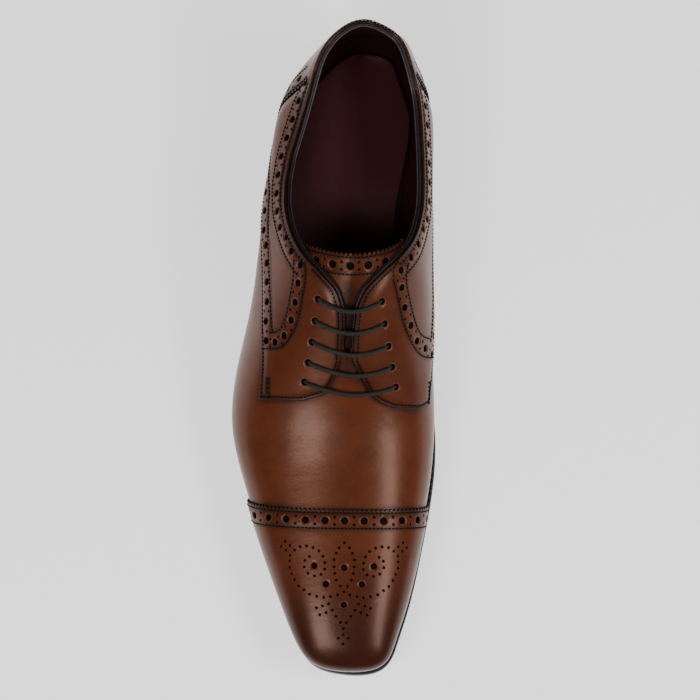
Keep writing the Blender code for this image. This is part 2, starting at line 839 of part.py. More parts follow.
def make_binding(material):
    """A bead on the top edge from one facing, round the heel, to the other facing."""
    count = 33
    us = np.linspace(BINDING_END, 0, count)
    loop = [(u, -1) for u in us] + [(u, 1) for u in us[-2::-1]]
    u = np.array([point[0] for point in loop])
    side = np.array([point[1] for point in loop], float)
    top = np.where(side < 0, top_edge(u, -1), top_edge(u, 1))
    v = side * top
    middle = (OVERLAY + GAP - UPPER_WALL) / 2
    normal = outward(u, v)
    edge = raised(u, v, middle)
    along_edge = np.gradient(edge, axis=0)
    along_edge /= np.linalg.norm(along_edge, axis=1, keepdims=True)
    rise = np.cross(along_edge, normal)
    rise /= np.linalg.norm(rise, axis=1, keepdims=True)
    rise *= np.sign(rise[:, 2:3])
    centres = edge + rise * (BINDING_HEIGHT / 2 + 2 * GAP)
    swept("collar_binding", centres, normal, rise, BINDING_WIDTH / 2, BINDING_HEIGHT / 2, 6, material)


def make_laces(material):
    """Five bars over the facings, each ending above its two eyelets."""
    t = np.linspace(0, 1, 11)
    arch = np.sin(math.pi * t)
    for number, eyelet in enumerate(EYELETS):
        u = eyelet.u_lateral * (1 - t) + eyelet.u_medial * t + LACE_SAG * arch
        v = -eyelet.v_lateral * (1 - t) + eyelet.v_medial * t
        line = placed(raised(u, v, 2 * FACET_GAP + OVERLAY + LACE / 2))
        name = f"lace_bar_{number + 1}"
        cord = bpy.data.curves.new(name, "CURVE")
        cord.dimensions = "3D"
        cord.bevel_depth = LACE / 2
        cord.bevel_resolution = 1
        cord.use_fill_caps = True
        spline = cord.splines.new("POLY")
        spline.points.add(len(line) - 1)
        for point, place in zip(spline.points, line):
            point.co = (*place, 1.0)
        spline.use_smooth = True
        cord.materials.append(material)
        COLLECTION.objects.link(bpy.data.objects.new(name, cord))


def leather(name, color, roughness):
    material = bpy.data.materials.new(name)
    material.use_nodes = True
    shader = material.node_tree.nodes["Principled BSDF"]
    shader.inputs["Base Color"].default_value = (*color, 1.0)
    shader.inputs["Roughness"].default_value = roughness
    return material


def main():
    make_outsole(leather("sole_leather", (0.030, 0.016, 0.012), 0.45))
    make_welt(leather("welt_leather", (0.028, 0.014, 0.010), 0.5))
    stack_finish = leather("heel_leather", (0.026, 0.014, 0.011), 0.45)
    make_heel(stack_finish, leather("heel_rubber", (0.012, 0.012, 0.012), 0.6))
    make_insole(leather("sock_leather", (0.045, 0.010, 0.013), 0.6))
    make_upper(leather("vamp_leather", (0.170, 0.060, 0.030), 0.35))
    make_toe_cap(leather("cap_leather", (0.130, 0.042, 0.022), 0.3))
    make_quarter("quarter_lateral", -1, leather("quarter_lateral_leather", (0.170, 0.060, 0.030), 0.35))
    make_quarter("quarter_medial", 1, leather("quarter_medial_leather", (0.170, 0.060, 0.030), 0.35))
    make_counter(leather("counter_leather", (0.150, 0.052, 0.027), 0.35))
    make_tongue(leather("tongue_leather", (0.150, 0.055, 0.028), 0.4))
    make_binding(leather("binding_leather", (0.035, 0.028, 0.025), 0.5))
    make_laces(leather("lace_cord", (0.040, 0.034, 0.030), 0.7))


for old in list(bpy.data.objects):
    bpy.data.objects.remove(old)
COLLECTION = bpy.data.collections.new("brogue_shoe")
bpy.context.scene.collection.children.link(COLLECTION)
main()
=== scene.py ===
"""A right brogue derby shoe in brown leather, dressed over its frame.

Points are worked out as (along, across, up) in metres: along runs from the back of the heel to the
toe, across is positive toward the inner side of the foot. placed() turns them into the frame's axes.
"""

import math
from collections import namedtuple

import bmesh
import bpy
import numpy as np
from mathutils import Matrix, Vector, kdtree


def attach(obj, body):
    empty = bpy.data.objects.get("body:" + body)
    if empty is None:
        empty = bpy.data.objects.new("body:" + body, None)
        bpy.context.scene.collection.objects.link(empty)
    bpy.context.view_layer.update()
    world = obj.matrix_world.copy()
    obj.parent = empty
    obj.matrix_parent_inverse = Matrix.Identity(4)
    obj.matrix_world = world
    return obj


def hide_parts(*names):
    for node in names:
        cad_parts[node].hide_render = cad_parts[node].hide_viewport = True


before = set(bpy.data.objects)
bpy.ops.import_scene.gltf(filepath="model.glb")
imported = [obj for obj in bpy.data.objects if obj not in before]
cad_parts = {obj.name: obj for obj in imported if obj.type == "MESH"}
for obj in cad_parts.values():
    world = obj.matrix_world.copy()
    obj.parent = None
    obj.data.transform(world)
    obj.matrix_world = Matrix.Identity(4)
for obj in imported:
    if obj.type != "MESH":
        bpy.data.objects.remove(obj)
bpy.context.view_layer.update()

bl_info = {
    "name": "Brogue shoe",
    "version": (1, 0, 0),
    "blender": (4, 5, 0),
    "location": "View3D > Sidebar > Brogue",
    "description": "Builds a brown leather brogue derby shoe piece by piece",
    "category": "Object",
}

# Driving sizes
SOLE_LENGTH = 0.314
BALL_WIDTH = 0.100
INSTEP_HEIGHT = 0.087
HEEL_HEIGHT = 0.024
TOE_SPRING = 0.0105

# Thicknesses and fits
OUTSOLE = 0.0045
WELT = 0.0030
UPPER_WALL = 0.0022
TONGUE = 0.0018
INSOLE = 0.0030
GAP = 0.0003
FACET_GAP = 0.0006
TOP_PIECE = 0.0065

# Sole sizes
WELT_PROJECTION = 0.0030
WELT_INSIDE = 0.0012
HEEL_BREAST = 0.238
HEEL_TAPER = 0.0014
STACK_TAPER = 0.00105
HEEL_REST = 0.118
SOLE_EDGE_ROUND = 0.0006
SHARP_DEGREES = 38

Section = namedtuple(
    "Section",
    "along lateral medial tuck_lateral tuck_medial rise_lateral rise_medial"
    " full_lateral full_medial lean_lateral lean_medial ridge",
)
# A row for each section of the last, heel to toe. Along and ridge are shares of SOLE_LENGTH,
# the widths, tucks, rises and leans shares of BALL_WIDTH, and full is the exponent of the curve.
SECTIONS = [
    Section(0.009, -0.035, 0.035, 0.035, 0.035, 0.20, 0.20, 2.20, 2.20, 0.035, 0.035, 0.084),
    Section(0.024, 0.105, 0.200, 0.035, 0.035, 0.20, 0.20, 2.50, 2.30, 0.030, 0.055, 0.094),
    Section(0.064, 0.232, 0.270, 0.035, 0.040, 0.20, 0.20, 2.65, 2.40, 0.050, 0.04, 0.112),
    Section(0.129, 0.355, 0.342, 0.040, 0.050, 0.20, 0.21, 2.15, 2.40, 0.125, 0.07, 0.145),
    Section(0.217, 0.405, 0.353, 0.060, 0.090, 0.21, 0.24, 1.80, 2.50, 0.13, 0.07, 0.217),
    Section(0.318, 0.457, 0.353, 0.080, 0.130, 0.22, 0.28, 1.60, 2.00, 0.06, 0.04, 0.318),
    Section(0.427, 0.500, 0.368, 0.070, 0.100, 0.19, 0.25, 1.60, 1.90, 0.02, 0.00, 0.427),
    Section(0.525, 0.565, 0.388, 0.050, 0.040, 0.15, 0.17, 1.72, 2.00, 0.00, 0.00, 0.525),
    Section(0.618, 0.586, 0.398, 0.042, 0.010, 0.13, 0.14, 1.90, 2.10, 0.00, 0.00, 0.618),
    Section(0.707, 0.522, 0.376, 0.042, 0.002, 0.12, 0.12, 2.10, 2.20, 0.00, 0.00, 0.707),
    Section(0.796, 0.433, 0.326, 0.042, 0.002, 0.11, 0.11, 2.25, 2.30, 0.00, 0.00, 0.793),
    Section(0.879, 0.339, 0.266, 0.036, 0.000, 0.10, 0.10, 2.35, 2.40, 0.00, 0.00, 0.867),
    Section(0.943, 0.259, 0.203, 0.030, 0.000, 0.09, 0.09, 2.45, 2.50, 0.00, 0.00, 0.914),
    Section(0.981, 0.165, 0.142, 0.018, 0.002, 0.085, 0.085, 2.50, 2.50, 0.00, 0.00, 0.937),
    Section(0.991, 0.000, 0.000, 0.008, 0.008, 0.08, 0.08, 2.60, 2.60, 0.00, 0.00, 0.946),
]
ROWS = len(SECTIONS) - 1
BELLY_SHARE = 0.78
LEAN_HEIGHT = 0.16

Level = namedtuple("Level", "along heel spring")
# The outsole's lower face in side view: shares of SOLE_LENGTH, HEEL_HEIGHT and TOE_SPRING.
UNDERSIDE = [
    Level(0.00, 1.00, 0.00),
    Level(0.23, 0.86, 0.00),
    Level(0.32, 0.62, 0.00),
    Level(0.42, 0.28, 0.00),
    Level(0.50, 0.06, 0.00),
    Level(0.56, 0.00, 0.00),
    Level(0.70, 0.00, 0.00),
    Level(0.78, 0.00, 0.10),
    Level(0.87, 0.00, 0.37),
    Level(0.96, 0.00, 0.80),
    Level(1.00, 0.00, 1.00),
]

Ridge = namedtuple("Ridge", "along height across")
# The last's top line: shares of SOLE_LENGTH, INSTEP_HEIGHT and BALL_WIDTH.
RIDGE = [
    Ridge(0.00, 1.40, 0.038),
    Ridge(0.10, 1.37, 0.038),
    Ridge(0.19, 1.32, 0.018),
    Ridge(0.30, 1.18, -0.012),
    Ridge(0.375, 1.070, -0.024),
    Ridge(0.41, 1.005, -0.030),
    Ridge(0.46, 0.910, -0.040),
    Ridge(0.51, 0.805, -0.046),
    Ridge(0.56, 0.705, -0.050),
    Ridge(0.605, 0.622, -0.053),
    Ridge(0.65, 0.565, -0.054),
    Ridge(0.70, 0.524, -0.053),
    Ridge(0.765, 0.488, -0.048),
    Ridge(0.83, 0.460, -0.040),
    Ridge(0.89, 0.435, -0.031),
    Ridge(0.945, 0.402, -0.017),
    Ridge(1.00, 0.360, 0.000),
]

Top = namedtuple("Top", "u lateral medial")
# Where the upper's top edge runs: u as a share of the rows, v on each side.
TOPLINE = [
    Top(0.000, 0.515, 0.515),
    Top(0.070, 0.570, 0.543),
    Top(0.140, 0.622, 0.604),
    Top(0.210, 0.634, 0.663),
    Top(0.280, 0.643, 0.682),
    Top(0.310, 0.620, 0.668),
    Top(0.340, 0.562, 0.628),
    Top(0.360, 0.496, 0.560),
    Top(0.380, 0.418, 0.460),
    Top(0.400, 0.322, 0.325),
    Top(0.420, 0.200, 0.180),
    Top(0.440, 0.096, 0.078),
    Top(0.460, 0.050, 0.044),
    Top(0.480, 0.038, 0.038),
    Top(0.508, 0.036, 0.036),
    Top(7.5 / ROWS, 0.000, 0.000),
]
THROAT = 7.5 / ROWS
SIDES = {-1: "lateral", 1: "medial"}

# The counter's front edges: u at the top edge and at the foot, lateral and medial.
COUNTER_TOP = {-1: 0.172, 1: 0.162}
COUNTER_FOOT = {-1: 0.300, 1: 0.290}

Lower = namedtuple("Lower", "u lateral medial")
# The quarters' lower edges, back to front.
QUARTER_LOWER = [
    Lower(0.240, 0.90, 0.93),
    Lower(0.300, 0.84, 0.90),
    Lower(0.335, 0.77, 0.86),
    Lower(0.374, 0.69, 0.82),
    Lower(0.424, 0.59, 0.77),
    Lower(0.455, 0.53, 0.72),
    Lower(0.488, 0.47, 0.66),
    Lower(0.517, 0.44, 0.61),
    Lower(0.547, 0.43, 0.56),
]

Front = namedtuple("Front", "t u_lateral v_lateral u_medial v_medial")
# The facings' front edges, from the lower corner in to the slot.
QUARTER_FRONT = [
    Front(0.00, 0.547, 0.430, 0.547, 0.560),
    Front(0.22, 0.549, 0.330, 0.556, 0.425),
    Front(0.45, 0.551, 0.217, 0.557, 0.282),
    Front(0.60, 0.548, 0.153, 0.553, 0.199),
    Front(0.74, 0.543, 0.100, 0.545, 0.138),
    Front(0.83, 0.534, 0.074, 0.535, 0.106),
    Front(0.92, 0.522, 0.052, 0.522, 0.070),
    Front(1.00, 0.508, 0.036, 0.508, 0.036),
]
QUARTER_MARGIN = 0.006
QUARTER_STEP = 0.0013
# Tries that bring the quarter's lower corner onto the counter's edge.
COUNTER_STEPS = 30

CAP_EDGE = 0.731
CAP_BOW = 0.022
# How far the cap's edge sweeps back toward the feather, lateral and medial.
CAP_SWEEP = (0.013, 0.004)
# The u values between which the cap's edge is looked for, and how often the span is halved.
CAP_SEARCH = (0.50, 0.95)
SEARCH_STEPS = 40
TONGUE_TOP = 0.404
TONGUE_DIP = 0.022
TONGUE_WIDTH = 0.42
TONGUE_FOOT = 0.60

Eyelet = namedtuple("Eyelet", "u_lateral v_lateral u_medial v_medial")
# The lace's five pairs of eyelets, top to bottom.
EYELETS = [
    Eyelet(0.443, 0.200, 0.445, 0.188),
    Eyelet(0.465, 0.196, 0.467, 0.206),
    Eyelet(0.487, 0.194, 0.490, 0.230),
    Eyelet(0.509, 0.197, 0.512, 0.253),
    Eyelet(0.530, 0.202, 0.533, 0.275),
]
LACE_SAG = 0.0120
BINDING_END = 0.500
HEEL_BREAST_CURVE = 0.004

# Paths on the leather
SHIFT_STEP = 0.002
PATH_STEP = 0.0005
COARSE_STEP = 0.0007
LINE_POINTS = 200
CURVE_POINTS = 24

# Edges of the leather: lines close to an edge, and the round of its corner
EDGE_LINES = (0.0, 0.00010, 0.00024, 0.00045, 0.00085, 0.0014)
COUNTER_END_LINES = (0.0, 0.003, 0.007, 0.014)
EDGE_ROUND = 0.00035
# How much thinner an edge is, and the width over which it is skived.
PLAIN_EDGE = (0.00045, 0.0055)
QUARTER_SKIVE = (0.00075, 0.0070)
COUNTER_SKIVE = (0.00110, 0.0090)

# Grids of the leather pieces: lengths from edge to edge or counts of lines, and the lines' spacing
CAP_GRID = (0.078, 150, 0.0009)
QUARTER_GRID = (0.130, 0.046, 0.0008)
COUNTER_GRID = (150, 0.060, 0.0010)
TONGUE_GRID = (0.062, 0.070, 0.0009)

# Heights above the upper's outer face
OVER_TOP = 0.00170
OVER_FOOT = 0.00012
COUNTER_RISE = 0.00200
HOLE_FLOOR = 0.00035
BAND_RISE = 0.00018

# Sewing: the pressed groove, then a stitch's dip, lift and length as shares of its size. The welt's
# stitch has its length's share, width and height.
GROOVE_DEPTH = 0.00014
GROOVE_WIDTH = 0.00065
STITCH_DIP = 0.45
STITCH_LIFT = 0.12
STITCH_SHARE = 0.86
THREAD_SHARP = 60
WELT_STITCH = (0.8, 0.0008, 0.0006)

# Punched strips: half the dyed strip, its fade, half the raised band and its fade
STRIP_HALF = 0.0034
STRIP_FADE = 0.0012
BAND_HALF = 0.0036
BAND_FADE = 0.0006
# Distances of sewn rows and hole lines from an edge
CAP_ROWS = (0.0019, 0.0094)
CAP_CENTRE = 0.0056
BAND_INNER = 0.0087
BAND_CENTRE = 0.0052
COLLAR_ROWS = (0.0027, 0.0093)
COLLAR_CENTRE = 0.0060
EDGE_ROW = 0.0015
FRONT_ROW = 0.0016
SLOT_ROW = 0.0019
TACK_HALF = 0.0006
COUNTER_ROWS = (0.0017, 0.0092)
COUNTER_CENTRE = 0.0054
COUNTER_TOP_ROW = 0.0029
TONGUE_ROWS = (0.0021, 0.0105)
TONGUE_CENTRE = 0.0063
TONGUE_HOLE_ACROSS = -0.0045
TONGUE_HOLES_EACH_WAY = 3
CUT_REACH = 0.004
NOTCH_HEIGHT = 0.001

TONGUE_TAPER = 0.5
TONGUE_FACETS = 1.4
# Ahead of SLOT_CLOSES the vamp closes under the facings.
SLOT_CLOSES = 0.488
SLOT_CLOSING = 0.02
# Dark polish: where it starts, the length over which it grows, and how strong it is.
TOE_BURNISH = (0.250, 0.052, 0.88)
FOOT_BURNISH = (0.001, 0.012, 0.45)
HEEL_BURNISH = (0.0, 0.045, 0.30)
# How far the darkening reaches beside an edge: painted shadow on the vamp under the overlays' edges, and
# darker edges with painted shade on the overlays and on the thin tops
VAMP_SHADE = 0.0015
CAP_FOOT_SHADE = 0.0011
CAP_SHADE = 0.0012
QUARTER_SHADE = 0.0013
TOP_SHADE = 0.0010
TONGUE_SHADE = (0.0009, 0.8)
# The shadow in the slot on the vamp and on the tongue: u ends, points, v, reach and depth
VAMP_SLOT = (SLOT_CLOSES, 0.514, 40, 0.003, 0.0045, 0.8)
TONGUE_SLOT = (0.440, 0.505, 60, 0.002, 0.0058, 1.0)
# Soft rolls of the vamp: u at the middle, how far they bow toward the toe, and depth.
VAMP_ROLLS = ((0.585, 0.020, 0.00012), (0.625, 0.035, 0.00008))
ROLL_LENGTH = 0.012
ROLL_WIDTH = 0.55

# The collar's bead, its piping and the toothed strip beside it
EDGING_END = 0.404
EDGING_LINES = (0.0002, 0.0006, 0.0012, 0.0018, 0.0023, 0.0026)
EDGING_GAP = 0.00003
EDGING_THICK = 0.00040
EDGING_ROUND = 0.0002
BEAD_SINK = 0.00115
BEAD_WIDE = 0.00180
BEAD_TALL = 0.00150
PIPING_LIFT = 0.00025
PIPING_RADIUS = 0.00036
COLLAR_POINTS = 900

# Sole and heel
SOLE_PROFILE = (
    (0.0016, 0.0), (0.0007, 0.02), (0.0002, 0.10), (0.0, 0.25), (0.0, 0.75), (0.0003, 0.92), (0.0009, 1.0),
)
WELT_PROFILE = ((0.0004, 0.0), (0.0, 0.12), (0.0, 0.80), (0.0003, 0.95), (0.0009, 1.0))
PROJECTION_AT = (0, 0.15, 0.30, 0.45, 0.60, 0.80, 1.0)
PROJECTION_SHARES = (0.55, 0.50, 0.45, 0.60, 0.85, 1.0, 1.1)
SOLE_POINTS = 150
WELT_POINTS = 240
SOCK_POINTS = 130
HEEL_POINTS = 70
BREAST_POINTS = 161
HEEL_FRONT_STEPS = 9
HEEL_LIFTS = 3
LIFT_NOTCH = 0.00018
RUBBER_ROUND = 0.0005
NAIL_INSET = 0.007
NAIL_POINTS = 60
NAIL_PITCH = 0.011
NAIL_WIDE = 0.0018
NAIL_TALL = 0.0012
SOCK_DISH = 0.0022
SOCK_ROUND = 0.0008

# Lace bars
LACE_TOP = OVER_TOP + 0.00102
LACE_DIP = 0.00055
LACE_RAMP = (0.0002, 0.0034)
LACE_WIDE = 0.0022
LACE_TALL = 0.0019
LACE_SWELL = (0.00010, 0.00012, 0.00008, 0.00012, 0.00010)
LACE_PINCH = 0.12
BRAID_ROUND = 6
BRAID_ALONG = 3.6

# The stage
FLOOR_HEIGHT = 0.0
FLOOR_HALF = 1.6
FLOOR_THICK = 0.012
FLOOR_GLOW = 1.0
WORLD_LIGHT = 0.14
# Name, place, target, width, height, power
SOFTBOXES = (
    ("softbox_lateral", (-0.54, -0.80, 1.30), (0.0, -0.70, 0.04), 0.50, 0.56, 12),
    ("softbox_medial", (0.90, -0.47, 1.18), (0.0, -0.42, 0.04), 0.72, 0.36, 10),
)
CAMERA_PLACE = (-0.051554, -0.380422, 1.506312)
CAMERA_BACK = (-0.034369, -0.173648, 0.984208)
CAMERA_ROLL = 0.45087
CAMERA_LENS = 158.550
CAMERA_SHIFT = (-0.005456, 0.000139)


# Curves and the last's surface
def eased(x, xs, ys):
    """Monotone cubic curve through a table."""
    xs = np.asarray(xs, float)
    ys = np.asarray(ys, float)
    h = np.diff(xs)
    d = np.diff(ys) / h
    m = np.zeros_like(ys)
    after = 2 * h[1:] + h[:-1]
    before = h[1:] + 2 * h[:-1]
    same = d[:-1] * d[1:] > 0
    first = np.where(same, d[:-1], 1.0)
    second = np.where(same, d[1:], 1.0)
    m[1:-1] = np.where(same, (after + before) / (after / first + before / second), 0.0)
    m[0] = d[0]
    m[-1] = d[-1]
    x = np.clip(x, xs[0], xs[-1])
    i = np.clip(np.searchsorted(xs, x, side="right") - 1, 0, len(xs) - 2)
    t = (x - xs[i]) / h[i]
    lower = (2 * t**3 - 3 * t**2 + 1) * ys[i] + (t**3 - 2 * t**2 + t) * h[i] * m[i]
    upper = (-2 * t**3 + 3 * t**2) * ys[i + 1] + (t**3 - t**2) * h[i] * m[i + 1]
    return lower + upper


def bends(xs, ys):
    """Second derivatives of the natural cubic spline through a table."""
    n = len(xs)
    h = np.diff(xs)
    system = np.eye(n)
    right = np.zeros(n)
    for i in range(1, n - 1):
        system[i, i - 1] = h[i - 1]
        system[i, i] = 2 * (h[i - 1] + h[i])
        system[i, i + 1] = h[i]
        right[i] = 6 * ((ys[i + 1] - ys[i]) / h[i] - (ys[i] - ys[i - 1]) / h[i - 1])
    return np.linalg.solve(system, right)


def splined(x, xs, ys):
    """Natural cubic spline through a table."""
    xs = np.asarray(xs, float)
    ys = np.asarray(ys, float)
    m = bends(xs, ys)
    h = np.diff(xs)
    i = np.clip(np.searchsorted(xs, x, side="right") - 1, 0, len(xs) - 2)
    a = (xs[i + 1] - x) / h[i]
    b = (x - xs[i]) / h[i]
    return a * ys[i] + b * ys[i + 1] + ((a**3 - a) * m[i] + (b**3 - b) * m[i + 1]) * h[i] ** 2 / 6


def looped_bends(ys):
    """Second derivatives of the closed cubic spline through evenly spaced values."""
    n = len(ys)
    system = np.zeros((n, n))
    right = np.zeros(n)
    for i in range(n):
        ahead = (i + 1) % n
        behind = (i - 1) % n
        system[i, i] += 4
        system[i, ahead] += 1
        system[i, behind] += 1
        right[i] = 6 * (ys[ahead] - 2 * ys[i] + ys[behind])
    return np.linalg.solve(system, right)


def listed(table, name):
    """One column of a table."""
    return [getattr(row, name) for row in table]


def loop_of(lateral, medial):
    """A column of the sections, down the lateral side and back up the medial side."""
    return np.array(listed(SECTIONS, lateral) + listed(SECTIONS[-2:0:-1], medial), float)


COLUMNS = {
    "along": loop_of("along", "along"),
    "ridge": loop_of("ridge", "ridge"),
    "tuck": loop_of("tuck_lateral", "tuck_medial"),
    "rise": loop_of("rise_lateral", "rise_medial"),
    "full": loop_of("full_lateral", "full_medial"),
    "lean": loop_of("lean_lateral", "lean_medial"),
    "across": loop_of("lateral", "medial") * np.repeat((-1.0, 1.0), (ROWS + 1, ROWS - 1)),
}
LOOPED_BENDS = {name: looped_bends(values) for name, values in COLUMNS.items()}


def column(name, w):
    """A column of the table at loop position w, one unit a row."""
    values = COLUMNS[name]
    m = LOOPED_BENDS[name]
    n = len(values)
    w = np.mod(w, n)
    i = np.floor(w).astype(int) % n
    j = (i + 1) % n
    b = w - np.floor(w)
    a = 1 - b
    return a * values[i] + b * values[j] + ((a**3 - a) * m[i] + (b**3 - b) * m[j]) / 6


def underside(along):
    """Height of the outsole's lower face."""
    xs = [level.along * SOLE_LENGTH for level in UNDERSIDE]
    zs = [level.heel * HEEL_HEIGHT + level.spring * TOE_SPRING for level in UNDERSIDE]
    return eased(along, xs, zs)


def welt_top(along):
    return underside(along) + OUTSOLE + GAP + WELT


def feather(along):
    """Height of the upper's lower edge."""
    return welt_top(along) + GAP


RIDGE_ALONG = [row.along * SOLE_LENGTH for row in RIDGE]


def ridge_height(along):
    return splined(along, RIDGE_ALONG, [row.height * INSTEP_HEIGHT for row in RIDGE])


def ridge_across(along):
    return splined(along, RIDGE_ALONG, [row.across * BALL_WIDTH for row in RIDGE])


def folded(u, v):
    """Past the heel's or the toe's middle line a point is on the other side."""
    u, v = np.broadcast_arrays(np.asarray(u, float), np.asarray(v, float))
    v = np.where((u > 1) | (u < 0), -v, v)
    u = np.where(u > 1, 2 - u, np.abs(u))
    return u, v


def last(u, v):
    """A point of the upper's outer face. u is 0 at the heel and 1 at the toe. v is -1 at the lateral
    lower edge, 0 on the top line and 1 at the medial lower edge."""
    u, v = folded(u, v)
    w = np.where(v < 0, u * ROWS, (2 - u) * ROWS)
    belly_along = column("along", w) * SOLE_LENGTH
    belly_across = column("across", w) * BALL_WIDTH
    ridge_along = column("ridge", w) * SOLE_LENGTH
    middle = ridge_across(ridge_along)
    tuck = column("tuck", w) * BALL_WIDTH
    rise = column("rise", w) * BALL_WIDTH
    lean = column("lean", w) * BALL_WIDTH
    power = 2 / column("full", w)
    run_along = belly_along - ridge_along
    run_across = belly_across - middle
    run = np.hypot(run_along, run_across)
    out_along = run_along / run
    out_across = run_across / run
    belly_up = feather(belly_along - out_along * tuck) + rise
    a = np.abs(v)
    turn = np.clip(1 - a / BELLY_SHARE, 0, 1) * math.pi / 2
    share = np.abs(np.cos(turn)) ** power
    along = ridge_along + run_along * share
    across = middle + run_across * share
    up = belly_up + (ridge_height(along) - belly_up) * np.sin(turn) ** power
    over = (up - belly_up) / (LEAN_HEIGHT * BALL_WIDTH)
    inward = lean * share * (1 - np.exp(-(over**2)))
    under = np.clip((a - BELLY_SHARE) / (1 - BELLY_SHARE), 0, None)
    inward = inward + tuck * under**2
    up = np.where(a > BELLY_SHARE, belly_up - rise * under, up)
    return np.stack([along - out_along * inward, across - out_across * inward, up], -1)


# Step of u and v for slopes on the last.
STEP = 1e-4


def slopes(u, v):
    """How a surface point moves with u and with v."""
    by_u = (last(u + STEP, v) - last(u - STEP, v)) / (2 * STEP)
    by_v = (last(u, v + STEP) - last(u, v - STEP)) / (2 * STEP)
    return by_u, by_v


def unit(vectors):
    return vectors / np.linalg.norm(vectors, axis=-1, keepdims=True)


def outward(u, v):
    """Unit normal of the upper's outer face, taken just short of the toe's end of the top line."""
    u, v = np.broadcast_arrays(u, v)
    fold = (np.abs(v) < 2 * STEP) & (u > 1 - 2 * STEP)
    return unit(np.cross(*slopes(np.where(fold, 1 - 3 * STEP, u), v)))


def raised(u, v, height):
    """A point at a height above the upper's outer face."""
    height = np.broadcast_to(height, np.broadcast_shapes(np.shape(u), np.shape(v)))
    return last(u, v) + outward(u, v) * height[..., None]


def top_edge(u, side):
    """v of the upper's top edge on one side."""
    return eased(np.abs(u), listed(TOPLINE, "u"), listed(TOPLINE, SIDES[side]))


def round_top(u):
    """v of the top edge going round the heel, where u is below 0 on the lateral side."""
    return np.where(u < 0, top_edge(u, -1), top_edge(u, 1))


def placed(points):
    """(along, across, up) to the frame's x, y and z."""
    points = np.asarray(points, float)
    return np.stack([points[..., 1], HEEL_REST * SOLE_LENGTH - points[..., 0], points[..., 2]], -1)


def turned(directions):
    """Directions in (along, across, up) to the frame's axes."""
    return np.stack([directions[..., 1], -directions[..., 0], directions[..., 2]], -1)


def cap_start(v):
    """u of the toe cap's edge at each v, bowed toward the toe and swept back at its ends."""
    low = np.full(v.shape, CAP_SEARCH[0])
    high = np.full(v.shape, CAP_SEARCH[1])
    sweep = np.where(v < 0, CAP_SWEEP[0], CAP_SWEEP[1])
    bow = (CAP_BOW * (1 - v**2) - sweep * v**2) * SOLE_LENGTH
    for _ in range(SEARCH_STEPS):
        middle = (low + high) / 2
        short = last(middle, v)[..., 0] < CAP_EDGE * SOLE_LENGTH + bow
        low = np.where(short, middle, low)
        high = np.where(short, high, middle)
    return (low + high) / 2


def lower_v(u, side):
    """v of a quarter's lower edge."""
    return eased(u, listed(QUARTER_LOWER, "u"), listed(QUARTER_LOWER, SIDES[side]))


def front_edge(t, side):
    """u and v of a facing's front edge, from the lower corner in to the slot."""
    at = listed(QUARTER_FRONT, "t")
    return tuple(eased(t, at, listed(QUARTER_FRONT, k + SIDES[side])) for k in ("u_", "v_"))


def quarter_edges(side):
    """The four edges of a quarter: back at the counter, front at the facing, lower and upper."""
    start_u = COUNTER_TOP[side] + QUARTER_STEP
    ends_u = QUARTER_FRONT[-1].u_lateral
    corner_u = getattr(QUARTER_FRONT[0], "u_" + SIDES[side])
    top_v = float(top_edge(COUNTER_TOP[side], side))
    foot_u = COUNTER_FOOT[side]
    for _ in range(COUNTER_STEPS):
        down = (lower_v(foot_u, side) - top_v) / (1 - top_v)
        foot_u = COUNTER_TOP[side] + (COUNTER_FOOT[side] - COUNTER_TOP[side]) * down + QUARTER_STEP

    def upper(t):
        u = start_u + (ends_u - start_u) * t
        return u, top_edge(u, side) + QUARTER_MARGIN * (1 - t) ** 0.5

    def lower(t):
        u = foot_u + (corner_u - foot_u) * t
        return u, lower_v(u, side)

    def back(t):
        low = lower(np.zeros(1))
        high = upper(np.zeros(1))
        return tuple(low[k] * (1 - t) + high[k] * t for k in (0, 1))

    def front(t):
        return front_edge(t, side)

    return back, front, lower, upper


# Paths on the last
def nearest_on_last(u, v, targets, rounds=4):
    """The surface points nearest to the targets, looked for from (u, v)."""
    for _ in range(rounds):
        by_u, by_v = slopes(u, v)
        miss = targets - last(u, v)
        uu = np.sum(by_u * by_u, -1)
        vv = np.sum(by_v * by_v, -1)
        uv = np.sum(by_u * by_v, -1)
        a = np.sum(miss * by_u, -1)
        b = np.sum(miss * by_v, -1)
        size = uu * vv - uv * uv
        u = u + (a * vv - b * uv) / size
        v = v + (b * uu - a * uv) / size
    return u, v


def on_last(along, across, rounds=12, first_v=0.05):
    """(u, v) rows of points of the top given in plan, in metres."""
    u = along / SOLE_LENGTH
    v = np.full(along.shape, first_v)
    for _ in range(rounds):
        place = last(u, v)
        by_u, by_v = slopes(u, v)
        miss_along = along - place[..., 0]
        miss_across = across - place[..., 1]
        size = by_u[..., 0] * by_v[..., 1] - by_u[..., 1] * by_v[..., 0]
        u = u + np.clip((miss_along * by_v[..., 1] - miss_across * by_v[..., 0]) / size, -0.05, 0.05)
        v = v + np.clip((miss_across * by_u[..., 0] - miss_along * by_u[..., 1]) / size, -0.1, 0.1)
    return np.stack([u, v], 1)


def on_surface(path):
    """The surface points of (u, v) rows."""
    return last(path[:, 0], path[:, 1])


def run_lengths(points):
    """Length along a line of points, from its start."""
    return np.concatenate([[0], np.cumsum(np.linalg.norm(np.diff(points, axis=0), axis=1))])


def lengths_of(path):
    """Length over the surface along a path, from its start."""
    return run_lengths(on_surface(path))


def taken(at, length, line):
    """The rows of a line at some lengths along it."""
    return np.stack([np.interp(at, length, values) for values in line.T], 1)


def spaced(path, step=PATH_STEP):
    """The path's points taken again an even step apart on the surface."""
    path = np.asarray(path, float)
    length = lengths_of(path)
    count = max(2, int(round(length[-1] / step)) + 1)
    return taken(np.linspace(0, length[-1], count), length, path)


